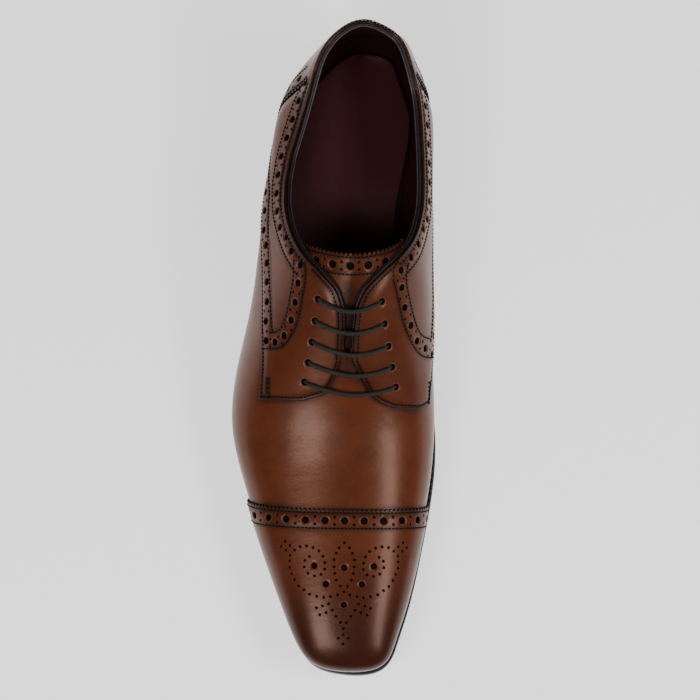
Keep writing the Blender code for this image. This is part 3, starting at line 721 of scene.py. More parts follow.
def curved(controls):
    """A smooth path through (u, v) control points."""
    length = lengths_of(controls)
    at = np.linspace(0, length[-1], CURVE_POINTS * len(controls))
    return spaced(np.stack([splined(at, length, values) for values in controls.T], 1))


def shifted(path, distance):
    """The path moved over the surface to its left, seen from outside."""
    u, v = path.T
    heading = unit(np.gradient(last(u, v), axis=0))
    parts = max(1, int(math.ceil(abs(distance) / SHIFT_STEP)))
    for _ in range(parts):
        left = unit(np.cross(outward(u, v), heading))
        u, v = nearest_on_last(u, v, last(u, v) + left * distance / parts)
    return np.stack([u, v], 1)


def moved(path, distance):
    """The path shifted to its left, its points an even step apart."""
    return spaced(shifted(spaced(path, COARSE_STEP), distance))


def frames(path, height):
    """Places and outward directions along a path, in the frame's axes."""
    facing = outward(path[:, 0], path[:, 1])
    places = on_surface(path) + facing * np.broadcast_to(height, len(path))[:, None]
    return placed(places), turned(facing)


def along_path(path, distances):
    """(u, v) at distances along a path."""
    return taken(distances, lengths_of(path), path)


def smooth_step(x):
    x = np.clip(x, 0, 1)
    return x * x * (3 - 2 * x)


def tree_of(places):
    """A search tree over points."""
    tree = kdtree.KDTree(len(places))
    for i, place in enumerate(places):
        tree.insert(place, i)
    tree.balance()
    return tree


def distance_to(points, paths, chunk=4000):
    """Distance from each point to the nearest of some paths on the surface."""
    best = np.full(len(points), 1.0)
    for path in paths:
        line = on_surface(path)
        for start in range(0, len(points), chunk):
            part = slice(start, start + chunk)
            gap = np.linalg.norm(points[part, None, :] - line[None, :, :], axis=2).min(1)
            best[part] = np.minimum(best[part], gap)
    return best


# Meshes
def new_object(name, mesh):
    obj = bpy.data.objects.new(name, mesh)
    bpy.context.scene.collection.objects.link(obj)
    return obj


def mesh_object(name, points, faces, materials):
    """A smooth-shaded mesh object from points in (along, across, up), faces turned outward."""
    mesh = bpy.data.meshes.new(name)
    mesh.from_pydata(placed(points).tolist(), [], faces)
    work = bmesh.new()
    work.from_mesh(mesh)
    bmesh.ops.recalc_face_normals(work, faces=work.faces)
    if work.calc_volume(signed=True) < 0:
        bmesh.ops.reverse_faces(work, faces=work.faces)
    work.to_mesh(mesh)
    work.free()
    for material in materials:
        mesh.materials.append(material)
    smooth_shaded(mesh)
    return new_object(name, mesh)


def smooth_shaded(mesh, sharp=SHARP_DEGREES):
    mesh.polygons.foreach_set("use_smooth", np.ones(len(mesh.polygons), bool))
    mesh.set_sharp_from_angle(angle=math.radians(sharp))


def settle(obj):
    """Turns the object's evaluated form into its own plain mesh, its modifiers gone."""
    graph = bpy.context.evaluated_depsgraph_get()
    mesh = bpy.data.meshes.new_from_object(
        obj.evaluated_get(graph), preserve_all_data_layers=True, depsgraph=graph
    )
    name = obj.data.name
    old = obj.data
    obj.modifiers.clear()
    obj.data = mesh
    bpy.data.meshes.remove(old)
    mesh.name = name
    return obj


def discard(obj):
    mesh = obj.data
    bpy.data.objects.remove(obj)
    bpy.data.meshes.remove(mesh)


def piece(obj, finish, *nodes):
    """Hands a finished object to the frame: attaches it to its body and hides the nodes it stands for.
    finish is not used.
    """
    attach(obj, "root")
    if nodes:
        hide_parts(*nodes)
    return obj


def edged(length, spacing, fine=EDGE_LINES):
    """Shares from 0 to 1 over a length, with extra lines close to both ends."""
    fine = np.asarray(fine)
    middle = np.linspace(fine[-1], length - fine[-1], int(round((length - 2 * fine[-1]) / spacing)) + 1)
    return np.concatenate([fine[:-1], middle, (length - fine[:-1])[::-1]]) / length


def edged_start(length, spacing):
    """Shares from 0 to 1 over a length, with extra lines close to the start."""
    fine = np.asarray(EDGE_LINES)
    middle = np.linspace(fine[-1], length, int(round((length - fine[-1]) / spacing)) + 1)
    return np.concatenate([fine[:-1], middle]) / length


def filled(back, front, lower, upper, s, t):
    """A (u, v) grid inside four edges, each a function of 0 to 1 giving u and v."""
    s = s[:, None]
    t = t[None, :]
    grid = []
    for k in (0, 1):
        low = [lower(np.full(1, end))[k] for end in (0.0, 1.0)]
        high = [upper(np.full(1, end))[k] for end in (0.0, 1.0)]
        corners = (
            (1 - s) * (1 - t) * low[0] + s * (1 - t) * low[1] + (1 - s) * t * high[0] + s * t * high[1]
        )
        sides = (1 - t) * lower(s)[k] + t * upper(s)[k] + (1 - s) * back(t)[k] + s * front(t)[k]
        grid.append(sides - corners)
    return grid


def grid_faces(rows, columns, start=0):
    """Quads of a grid of points stored row by row, as an array."""
    a = (start + np.arange(rows - 1)[:, None] * columns + np.arange(columns - 1)[None, :]).ravel()
    return np.stack([a, a + 1, a + columns + 1, a + columns], 1)


def rim_of(places, ends, radius=EDGE_ROUND):
    """How far the outer face sinks near the edges of a grid of places. ends gives, for any of back,
    front, lower and upper, how much thinner the edge is and over what width it is skived."""
    down = np.zeros(places.shape[:2])
    rows, columns = (
        np.insert(np.cumsum(np.linalg.norm(np.diff(places, axis=k), axis=2), k), 0, 0.0, axis=k)
        for k in (0, 1)
    )
    gaps = {
        "back": rows,
        "front": rows[-1:] - rows,
        "lower": columns,
        "upper": columns[:, -1:] - columns,
    }
    for end, (thin, skive) in ends.items():
        gap = gaps[end]
        sunk = thin * (1 - smooth_step(gap / skive))
        near = np.clip(1 - gap / radius, 0, 1)
        sunk = sunk + radius * (1 - np.sqrt(1 - near**2))
        down = np.maximum(down, sunk)
    return down


class Hide:
    """One closed leather piece between two heights above the last, over (u, v) grids."""

    def __init__(self, name, grids, tops, bottom, level_foot=False):
        self.name = name
        self.u = np.concatenate([grid[0].ravel() for grid in grids])
        self.v = np.concatenate([grid[1].ravel() for grid in grids])
        top = np.concatenate([np.broadcast_to(t, grid[0].shape).ravel() for t, grid in zip(tops, grids)])
        faces = []
        start = 0
        for grid in grids:
            faces.append(grid_faces(*grid[0].shape, start))
            start += grid[0].size
        faces = np.concatenate(faces)
        _, first, index = np.unique(
            np.round(last(self.u, self.v), 7), axis=0, return_index=True, return_inverse=True
        )
        faces = index.reshape(-1)[faces]
        self.u = self.u[first]
        self.v = self.v[first]
        self.top = top[first]
        self.faces = faces[[len(set(face)) == 4 for face in faces.tolist()]]
        self.bottom = np.full(len(first), bottom)
        self.level_foot = level_foot
        self.values = {"seam": np.zeros(len(first))}

    def places(self):
        return raised(self.u, self.v, self.top)

    def deepen(self, dark):
        """Darkens the leather by a share at each point: painted shade beside edges, in sewn grooves and in
        the slot, and darker cut edges.
        """
        self.values["seam"] = np.maximum(self.values["seam"], dark)

    def groove(self, rows):
        """Presses a soft channel along stitched rows and darkens it with painted shade."""
        gap = distance_to(last(self.u, self.v), rows)
        self.top = self.top - GROOVE_DEPTH * np.exp(-((gap / GROOVE_WIDTH) ** 2))
        self.deepen(np.exp(-((gap / (1.5 * GROOVE_WIDTH)) ** 2)))

    def height_at(self, path):
        """The piece's outer height along a path."""
        tree = tree_of(last(self.u, self.v))
        out = []
        for place in on_surface(path):
            found = tree.find_n(place, 4)
            weight = np.array([1 / (gap + 1e-5) for _, _, gap in found])
            out.append(np.sum(weight * self.top[[i for _, i, _ in found]]) / weight.sum())
        return np.array(out)

    def build(self, materials):
        """The closed mesh object, its finish values kept on its vertices."""
        layers = []
        for height in (self.top, self.bottom):
            points = raised(self.u, self.v, height)
            if self.level_foot:
                foot = np.abs(self.v) > 1 - 1e-6
                points[:, 2] = np.where(foot, feather(points[:, 0]), points[:, 2])
            layers.append(points)
        count = len(self.u)
        faces = self.faces
        starts = faces.ravel()
        ends = np.roll(faces, -1, axis=1).ravel()
        key = np.minimum(starts, ends).astype(np.int64) * (count + 1) + np.maximum(starts, ends)
        _, first, uses = np.unique(key, return_index=True, return_counts=True)
        rim = first[uses == 1]
        a = starts[rim]
        b = ends[rim]
        walls = np.stack([b, a, a + count, b + count], 1)
        solid = np.concatenate([faces, faces[:, ::-1] + count, walls])
        obj = mesh_object(self.name, np.concatenate(layers), solid.tolist(), materials)
        self.keep_values(obj)
        return obj

    def keep_values(self, obj):
        """Puts the finish values on an object's vertices, from the nearest points of the grid."""
        mesh = obj.data
        places = np.empty(len(mesh.vertices) * 3, np.float32)
        mesh.vertices.foreach_get("co", places)
        tree = tree_of(placed(self.places()))
        nearest = np.array([tree.find(place)[1] for place in places.reshape(-1, 3)])
        for name, values in self.values.items():
            if name in mesh.attributes:
                mesh.attributes.remove(mesh.attributes[name])
            layer = mesh.attributes.new(name, "FLOAT", "POINT")
            layer.data.foreach_set("value", values[nearest].astype(np.float32))


def worked(hide, materials, cutters):
    """Builds a leather piece and cuts its punched holes and its gimped edges."""
    obj = hide.build(materials)
    for cutter in cutters:
        cut = obj.modifiers.new(cutter.name, "BOOLEAN")
        cut.operation = "DIFFERENCE"
        cut.solver = "MANIFOLD"
        cut.material_mode = "TRANSFER"
        cut.object = cutter
    settle(obj)
    smooth_shaded(obj.data)
    hide.keep_values(obj)
    for cutter in cutters:
        discard(cutter)
    return obj


# Geometry Nodes
def node(tree, kind, settings=None, inputs=None):
    """Adds one node to a tree: its settings first, then its sockets' values or links."""
    made = tree.nodes.new(kind)
    for key, value in (settings or {}).items():
        setattr(made, key, value)
    for key, value in (inputs or {}).items():
        socket = made.inputs[key]
        if isinstance(value, bpy.types.NodeSocket):
            tree.links.new(value, socket)
        else:
            socket.default_value = value
    return made


COPY_SIZES = ("Pitch", "Length", "Width", "Height")


def copies_tree(name, evenly):
    """A tree that puts copies of a shape on points, or evenly along paths, turned to their facing."""
    tree = bpy.data.node_groups.new(name, "GeometryNodeTree")
    inputs = {"Geometry": "Geometry", "Shape": "Object", "Finish": "Material", "Wall finish": "Material"}
    inputs.update({label: "Float" for label in COPY_SIZES if evenly})
    for label, kind in inputs.items():
        tree.interface.new_socket(label, in_out="INPUT", socket_type="NodeSocket" + kind)
    tree.interface.new_socket("Geometry", in_out="OUTPUT", socket_type="NodeSocketGeometry")
    given = node(tree, "NodeGroupInput").outputs
    facing = named_vector(tree, "facing")
    if evenly:
        curve = node(tree, "GeometryNodeMeshToCurve", None, {"Mesh": given["Geometry"]})
        along = {"Curve": curve.outputs[0], "Length": given["Pitch"]}
        points = node(tree, "GeometryNodeCurveToPoints", {"mode": "LENGTH"}, along)
        spots = points.outputs["Points"]
        heading = points.outputs["Tangent"]
        sides = {"X": given["Length"], "Y": given["Width"], "Z": given["Height"]}
        size = node(tree, "ShaderNodeCombineXYZ", None, sides).outputs[0]
    else:
        spots = given["Geometry"]
        heading = named_vector(tree, "heading")
        size = named_vector(tree, "size")
    turn = node(tree, "FunctionNodeAlignRotationToVector", {"axis": "X"}, {"Vector": heading})
    upright = {"Rotation": turn.outputs[0], "Vector": facing}
    turn = node(tree, "FunctionNodeAlignRotationToVector", {"axis": "Z", "pivot_axis": "X"}, upright)
    shape = node(tree, "GeometryNodeObjectInfo", None, {"Object": given["Shape"]}).outputs["Geometry"]
    placing = {"Points": spots, "Instance": shape, "Rotation": turn.outputs[0], "Scale": size}
    copies = node(tree, "GeometryNodeInstanceOnPoints", None, placing)
    real = node(tree, "GeometryNodeRealizeInstances", None, {"Geometry": copies.outputs[0]})
    painted = {"Geometry": real.outputs[0], "Material": given["Finish"]}
    outer = node(tree, "GeometryNodeSetMaterial", None, painted)
    wall = node(tree, "GeometryNodeInputNamedAttribute", {"data_type": "BOOLEAN"}, {"Name": "wall"})
    painted = {
        "Geometry": outer.outputs[0],
        "Selection": wall.outputs["Attribute"],
        "Material": given["Wall finish"],
    }
    inner = node(tree, "GeometryNodeSetMaterial", None, painted)
    node(tree, "NodeGroupOutput", None, {"Geometry": inner.outputs[0]})
    return tree


def named_vector(tree, name):
    kind = "GeometryNodeInputNamedAttribute"
    return node(tree, kind, {"data_type": "FLOAT_VECTOR"}, {"Name": name}).outputs["Attribute"]


def carrier(name, lines, attributes):
    """A scratch mesh of chained points with vector attributes, for a tree to read."""
    places = np.concatenate(lines)
    edges = []
    start = 0
    for line in lines:
        edges += [(start + i, start + i + 1) for i in range(len(line) - 1)]
        start += len(line)
    mesh = bpy.data.meshes.new(name)
    mesh.from_pydata(places.tolist(), edges, [])
    for label, values in attributes.items():
        layer = mesh.attributes.new(label, "FLOAT_VECTOR", "POINT")
        layer.data.foreach_set("vector", np.concatenate(values).astype(np.float32).ravel())
    return new_object(name, mesh)


def grown(obj, tree, values):
    """Runs a tree on an object with its inputs set, and keeps the result as a plain mesh."""
    live = obj.modifiers.new(tree.name, "NODES")
    live.node_group = tree
    for item in tree.interface.items_tree:
        if item.in_out == "INPUT" and item.name in values:
            live[item.identifier] = values[item.name]
    settle(obj)
    return obj


def shape_object(name, points, faces, walls=()):
    """A small closed shape to be copied. walls lists the faces that take the wall finish."""
    mesh = bpy.data.meshes.new(name)
    mesh.from_pydata([tuple(point) for point in points], [], faces)
    layer = mesh.attributes.new("wall", "BOOLEAN", "FACE")
    layer.data.foreach_set("value", [i in walls for i in range(len(faces))])
    mesh.polygons.foreach_set("use_smooth", np.ones(len(faces), bool))
    obj = new_object(name, mesh)
    work = bmesh.new()
    work.from_mesh(mesh)
    bmesh.ops.recalc_face_normals(work, faces=work.faces)
    work.to_mesh(mesh)
    work.free()
    return obj


def ring_faces(rings, size):
    """Quads between closed rings of points stored one after another."""
    faces = []
    for ring in range(rings - 1):
        for k in range(size):
            a = ring * size + k
            b = ring * size + (k + 1) % size
            faces.append((a, b, b + size, a + size))
    return faces


def tube_faces(rings, size):
    """Faces of a tube of rings with both its ends closed, the first end's face before the last's."""
    ends = [tuple(reversed(range(size))), tuple(range((rings - 1) * size, rings * size))]
    return ring_faces(rings, size) + ends


def circle(sides):
    return [(math.cos(2 * math.pi * k / sides), math.sin(2 * math.pi * k / sides)) for k in range(sides)]


def turned_shape(name, profile, sides, walls=()):
    """A closed shape of rings (radius, height), lowest first. walls lists the rings of wall faces."""
    points = [(radius * x, radius * y, height) for radius, height in profile for x, y in circle(sides)]
    faces = tube_faces(len(profile), sides)
    marked = {i for i in range(len(faces) - 2) if i // sides in walls} | {len(faces) - 2}
    return shape_object(name, points, faces, marked)


def stitch_shape(sides=6):
    """One stitch a unit long, its ends dipping into the leather."""
    stations = ((-0.5, 0.25), (-0.36, 0.42), (0.0, 0.5), (0.36, 0.42), (0.5, 0.25))
    points = [
        (at, radius * x, radius * y - STITCH_DIP * (2 * at) ** 4)
        for at, radius in stations
        for x, y in circle(sides)
    ]
    return shape_object("stitch_shape", points, tube_faces(len(stations), sides))


def tooth_shape():
    """The notch between two teeth of a gimped edge: unit wide, unit deep, its tip toward the piece."""
    outline = ((-0.42, -0.8), (0.42, -0.8), (0.42, 0.0), (0.0, 1.0), (-0.42, 0.0))
    points = [(x, y, z) for z in (-1.0, 1.0) for x, y in outline]
    count = len(outline)
    faces = [tuple(reversed(range(count))), tuple(range(count, 2 * count))] + ring_faces(2, count)
    return shape_object("tooth_shape", points, faces, set(range(len(faces))))


def repeated(name, kind, lines, facings, shape, finish, sizes):
    """Copies of a shape along lines as one plain mesh object. sizes are those of COPY_SIZES."""
    obj = carrier(name, lines, {"facing": facings})
    values = {"Shape": shape, "Finish": finish, "Wall finish": finish}
    grown(obj, copies_tree(kind, True), {**values, **dict(zip(COPY_SIZES, sizes))})
    discard(shape)
    return obj


def sewn(name, hide, rows):
    """Sewn rows lying on a leather piece, as a piece of their own."""
    sizes = trims()
    lines, facings = zip(*[frames(row, hide.height_at(row) + sizes.thread * STITCH_LIFT) for row in rows])
    pitch = sizes.stitch_pitch
    stitch = (pitch, pitch * STITCH_SHARE, sizes.thread, sizes.thread)
    obj = repeated(name, "Sewn row", lines, facings, stitch_shape(), thread(), stitch)
    smooth_shaded(obj.data, THREAD_SHARP)
    piece(obj, "lace_cord")


def gimp_cutter(name, path, height=NOTCH_HEIGHT):
    """Notches along an edge, to be cut from the leather on the path's left."""
    pitch = trims().tooth_pitch
    places, facing = frames(path, height)
    notch = (pitch, pitch, trims().tooth_depth, CUT_REACH)
    return repeated(name, "Gimped edge", [places], [facing], tooth_shape(), cut_edge(), notch)


def punch_cutter(name, spots, widths, floor, tops):
    """Punched holes at (u, v) spots: near-black walls and floor, the dark layer under a hole with painted
    shadow, and a pressed rim coloured lighter than the calf as painted sheen.
    """
    u, v = spots.T
    heading = unit(last(u + STEP, v) - last(u - STEP, v))
    size = np.stack([widths, widths, tops - floor], 1)
    attributes = {"facing": [turned(outward(u, v))], "heading": [turned(heading)], "size": [size]}
    obj = carrier(name, [spot[None, :] for spot in placed(raised(u, v, tops))], attributes)
    profile = ((0.46, -1.0), (0.5, -0.32), (0.56, -0.12), (0.66, 0.03), (0.7, 1.0))
    shape = turned_shape("punch_shape", profile, 12, {0})
    values = {"Shape": shape, "Finish": pressed_rim(), "Wall finish": punched_dark()}
    grown(obj, copies_tree("Punched holes", False), values)
    discard(shape)
    return obj


def strip_holes(bigs, wider=1.0):
    """Big holes at the given spots of a strip, and a pair of small ones midway between neighbours."""
    sizes = trims()
    path = curved(bigs)
    length = lengths_of(path)
    places = on_surface(path)
    stops = [length[np.argmin(np.linalg.norm(places - spot, axis=1))] for spot in on_surface(bigs)]
    middles = (np.array(stops[1:]) + np.array(stops[:-1])) / 2
    pairs = [taken(middles, length, shifted(path, side * sizes.pair_offset)) for side in (-1, 1)]
    widths = [np.full(len(bigs), wider * sizes.big_hole), np.full(2 * len(middles), sizes.small_hole)]
    return np.concatenate([bigs, *pairs]), np.concatenate(widths)


def punched_piece(hide, label, replaced, spots, widths, teeth, rows, floor=HOLE_FLOOR):
    """Cuts a leather piece's holes and gimped edges, hands it over, and sews its rows."""
    holes = punch_cutter(label + "_holes", spots, widths, floor, hide.height_at(spots))
    finishes = [calf(), pressed_rim(), punched_dark(), cut_edge()]
    piece(worked(hide, finishes, teeth + [holes]), hide.name, replaced)
    sewn(label + "_stitches", hide, rows)


# Shader maths
class Value:
    """A number that varies over the surface. Sums and products of it add Math nodes."""

    def __init__(self, tree, socket):
        self.tree = tree
        self.socket = socket

    def maths(self, operation, *others, flipped=False):
        terms = [self.socket] + [o.socket if isinstance(o, Value) else float(o) for o in others]
        if flipped:
            terms.reverse()
        made = node(self.tree, "ShaderNodeMath", {"operation": operation}, dict(enumerate(terms)))
        return Value(self.tree, made.outputs[0])

    def __add__(self, other):
        return self.maths("ADD", other)

    def __radd__(self, other):
        return self.maths("ADD", other)

    def __sub__(self, other):
        return self.maths("SUBTRACT", other)

    def __rsub__(self, other):
        return self.maths("SUBTRACT", other, flipped=True)

    def __mul__(self, other):
        return self.maths("MULTIPLY", other)

    def __rmul__(self, other):
        return self.maths("MULTIPLY", other)

    def kept(self):
        """Held between 0 and 1."""
        made = node(self.tree, "ShaderNodeClamp", None, {"Value": self.socket})
        return Value(self.tree, made.outputs[0])


class Finish:
    """One material being made."""

    def __init__(self, name):
        self.material = bpy.data.materials.new(name)
        self.material.use_nodes = True
        self.tree = self.material.node_tree
        self.shader = self.tree.nodes["Principled BSDF"]
        self.where = self.add("ShaderNodeTexCoord").outputs["Object"]

    def add(self, kind, settings=None, inputs=None):
        return node(self.tree, kind, settings, inputs)

    def noise(self, scale, detail, rough, stretch=None):
        spot = self.where
        if stretch:
            spot = self.add("ShaderNodeMapping", None, {"Vector": spot, "Scale": stretch}).outputs[0]
        inputs = {"Vector": spot, "Scale": scale, "Detail": detail, "Roughness": rough}
        return Value(self.tree, self.add("ShaderNodeTexNoise", None, inputs).outputs["Fac"])

    def cells(self, scale):
        made = self.add("ShaderNodeTexVoronoi", None, {"Vector": self.where, "Scale": scale})
        return Value(self.tree, made.outputs["Distance"])

    def kept(self, name):
        made = self.add("ShaderNodeAttribute", {"attribute_name": name})
        return Value(self.tree, made.outputs["Fac"])

    def mixed(self, share, first, second):
        """A colour between two, each a socket or an (r, g, b)."""
        share = share.socket if isinstance(share, Value) else share
        colors = [c if isinstance(c, bpy.types.NodeSocket) else (*c[:3], 1.0) for c in (first, second)]
        inputs = {0: share, 6: colors[0], 7: colors[1]}
        return self.add("ShaderNodeMix", {"data_type": "RGBA"}, inputs).outputs[2]

    def bump(self, height, strength, distance, below=None):
        inputs = {"Height": height.socket, "Strength": strength, "Distance": distance}
        if below:
            inputs["Normal"] = below
        return self.add("ShaderNodeBump", None, inputs).outputs[0]

    def axes(self, where):
        made = self.add("ShaderNodeSeparateXYZ", None, {"Vector": where})
        return [Value(self.tree, made.outputs[k]) for k in range(3)]

    def shade(self, **inputs):
        """Sets the shader's sockets, given with underscores for spaces."""
        for key, value in inputs.items():
            socket = self.shader.inputs[key.replace("_", " ")]
            value = value.socket if isinstance(value, Value) else value
            if isinstance(value, bpy.types.NodeSocket):
                self.tree.links.new(value, socket)
            else:
                socket.default_value = value
        return self.material


def once(name, make):
    """The material of that name, made at its first use."""
    return bpy.data.materials.get(name) or make(name)


def upper_leather(name):
    """Polished calf: cloudy dye, painted shade along seams, edges and the slot, a fine grain and a wax coat.
    """
    chestnut, deep, burnished = (getattr(shades(), tone) for tone in ("chestnut", "deep", "burnished"))
    finish = Finish(name)
    cloud = finish.noise(26, 3, 0.55)
    fine = finish.noise(190, 3, 0.6)
    base = finish.mixed((cloud * 0.75 + fine * 0.35 - 0.05).kept(), [c * 0.80 for c in chestnut], chestnut)
    base = finish.mixed(finish.kept("deep") * 0.85, base, deep)
    patches = finish.noise(70, 5, 0.66) * 0.6 + cloud * 0.4
    base = finish.mixed(((patches - 0.46) * 6.5).kept() * 0.6, base, [c * 0.60 for c in deep])
    patina = (finish.kept("burnish") + (cloud - 0.5) * 0.35 * finish.kept("burnish")).kept()
    base = finish.mixed(patina, base, burnished)
    # Painted shade beside edges, in the sewn grooves and in the lace slot, with darker cut edges.
    base = finish.mixed((finish.kept("seam") * 0.94).kept(), base, [c * 0.30 for c in burnished])
    pores = finish.cells(1500)
    grain = finish.noise(700, 2, 0.6)
    creases = finish.noise(60, 4, 0.65, stretch=(1.0, 1.6, 1.0))
    normal = finish.bump(creases, 0.18, 0.0012)
    normal = finish.bump(grain * 0.6 + pores * 0.4, 0.10, 0.00025, normal)
    return finish.shade(
        Base_Color=base,
        Roughness=finish.noise(45, 3, 0.6) * 0.12 + 0.26 + finish.kept("seam") * 0.15,
        Normal=normal,
        IOR=1.38,
        Specular_Tint=(1.0, 0.58, 0.42, 1.0),
        Coat_Weight=0.10,
        Coat_Roughness=0.22,
    )


def plain_finish(
    name, dark, light, scale, roughness, bump=0.2, distance=0.0002, coat=0.0, stretch=None, gloss=0.5
):
    """A worked surface of two close shades with its own small relief."""
    finish = Finish(name)
    cloud = finish.noise(scale, 4, 0.6, stretch=stretch)
    fine = finish.noise(scale * 7, 3, 0.6, stretch=stretch)
    share = (cloud * 0.7 + fine * 0.4 - 0.05).kept()
    return finish.shade(
        Base_Color=finish.mixed(share, dark, light),
        Roughness=cloud * 0.14 + (roughness - 0.07),
        Normal=finish.bump(fine * 0.6 + cloud * 0.4, bump, distance),
        Coat_Weight=coat,
        Coat_Roughness=0.2,
        Specular_IOR_Level=gloss,
    )


# Finishes
def trims():
    return bpy.context.scene.brogue_sizes


def shades():
    return bpy.context.scene.brogue_colours


def toned(name, tone, low, high, scale, roughness, **more):
    """A plain finish in one of the shoe's tones, made at its first use."""
    dark, light = ([c * share for c in getattr(shades(), tone)] for share in (low, high))
    return once(name, lambda made: plain_finish(made, dark, light, scale, roughness, **more))


def calf():
    return once("polished_calf", upper_leather)


# Near black inside the punched holes: the dark layer under a hole, with painted shadow.
def punched_dark():
    return toned("punched_hole", "shadow", 0.5, 1.0, 300, 0.9, gloss=0.15)


# Near-black cut edges of the leather: dyed edges with painted shade.
def cut_edge():
    return toned("cut_edge", "shadow", 1.0, 1.6, 500, 0.9, gloss=0.1)


# The pressed bevel round a punched hole, lighter than the calf: painted sheen.
def pressed_rim():
    return toned("pressed_rim", "chestnut", 1.0, 1.2, 400, 0.5)


def thread():
    return toned("waxed_thread", "thread", 0.6, 1.0, 900, 0.8, gloss=0.12)


def nail_brass(name):
    brass = plain_finish(name, (0.35, 0.22, 0.08), (0.5, 0.34, 0.14), 500, 0.35)
    brass.node_tree.nodes["Principled BSDF"].inputs["Metallic"].default_value = 1.0
    return brass


# The quarters' bands, as (u, v) without the side's sign
BAND_HOLES = {
    -1: (
        (0.364, 0.663), (0.380, 0.619), (0.398, 0.581), (0.417, 0.549), (0.438, 0.511), (0.459, 0.481),
        (0.481, 0.445), (0.484, 0.387), (0.478, 0.343), (0.462, 0.323), (0.444, 0.322), (0.425, 0.327),
        (0.408, 0.333), (0.393, 0.407), (0.378, 0.463),
    ),
    1: (
        (0.490, 0.600), (0.486, 0.509), (0.480, 0.430), (0.465, 0.381), (0.448, 0.337), (0.429, 0.318),
        (0.413, 0.318), (0.399, 0.406), (0.384, 0.494), (0.367, 0.577),
    ),
}
CORNER_OUTER = {
    -1: (
        (0.489, 0.461), (0.491, 0.396), (0.490, 0.343), (0.479, 0.305), (0.461, 0.284), (0.439, 0.286),
        (0.411, 0.301), (0.403, 0.322),
    ),
    1: (
        (0.491, 0.650), (0.495, 0.544), (0.494, 0.457), (0.482, 0.381), (0.459, 0.316), (0.435, 0.279),
        (0.412, 0.272), (0.402, 0.325),
    ),
}
CORNER_INNER = {
    -1: ((0.473, 0.425), (0.472, 0.384), (0.459, 0.357), (0.434, 0.357), (0.414, 0.364), (0.406, 0.372)),
    1: ((0.474, 0.560), (0.473, 0.477), (0.457, 0.406), (0.433, 0.362), (0.415, 0.354), (0.406, 0.372)),
}
TACK = {-1: ((0.524, 0.387), (0.545, 0.376)), 1: ((0.523, 0.557), (0.546, 0.552))}


def signed(points, side):
    points = np.array(points, float)
    points[:, 1] *= side
    return points


def on_side(us, vs, side):
    """A path that runs toward the toe on the medial side and toward the heel on the lateral one."""
    path = np.stack([us, side * vs], 1)
    return path if side < 0 else path[::-1]


def collar_line(side, distance, rear, fore):
    """A line down from the top edge, with the shoe's foot on its left."""
    us = np.linspace(fore, rear, LINE_POINTS)
    return moved(on_side(us, top_edge(us, side) + 1e-4, side), distance)


def lower_line(side, distance, rear, fore):
    """A line up from a quarter's lower edge."""
    us = np.linspace(rear, fore, LINE_POINTS)
    return moved(on_side(us, lower_v(us, side), side), distance)


def front_line(side, distance):
    """A line back from a facing's front edge."""
    return moved(on_side(*front_edge(np.linspace(0, 1, LINE_POINTS), side), side), distance)


def heelward(path):
    """The path turned to run from front to back."""
    return path if path[0, 0] > path[-1, 0] else path[::-1]


def trimmed(path, cut):
    """The path without a length at its start and at its end."""
    length = lengths_of(path)
    return path[(length >= cut) & (length <= length[-1] - cut)]


def burnish_of(u, v):
    """Dark polish toward the toe's tip, the heel and the welt."""
    place = last(u, v)
    along = place[:, 0]
    toe = smooth_step((along - TOE_BURNISH[0]) / TOE_BURNISH[1])
    foot = 1 - smooth_step((place[:, 2] - feather(along) - FOOT_BURNISH[0]) / FOOT_BURNISH[1])
    heel = 1 - smooth_step((along - HEEL_BURNISH[0]) / HEEL_BURNISH[1])
    return np.clip(TOE_BURNISH[2] * toe + FOOT_BURNISH[2] * foot + HEEL_BURNISH[2] * heel, 0, 1)


def shade_by(hide, paths, reach, depth=1.0):
    """Darkens the leather beside some lines: painted shadow beside overlying edges, and darker edges with
    painted shade on the overlays.
    """
    gap = distance_to(last(hide.u, hide.v), paths)
    hide.deepen(depth * np.exp(-((gap / reach) ** 2)))


def shade_slot(hide, rear, fore, count, v, reach, depth):
    """Paints shadow along the lace slot."""
    shade_by(hide, [np.stack([np.linspace(rear, fore, count), np.full(count, v)], 1)], reach, depth)


def dyed(hide, burnish, deep):
    """Sets how dark the polish and the dye are over a leather piece."""
    hide.values.update(burnish=burnish + 0.0 * hide.u, deep=deep + 0.0 * hide.u)


def upper_grids(us, share, closing):
    """(u, v) grids of both sides of the upper below its top edge, and where the slot closes."""
    us[np.argmin(np.abs(us - THROAT))] = THROAT
    share = share[None, :]
    grids = []
    for side in SIDES:
        top = (np.where(us < THROAT, top_edge(us, side), 0.0) * closing(us))[:, None]
        grids.append((np.repeat(us[:, None], share.size, 1), side * (top * (1 - share) + share)))
    return grids


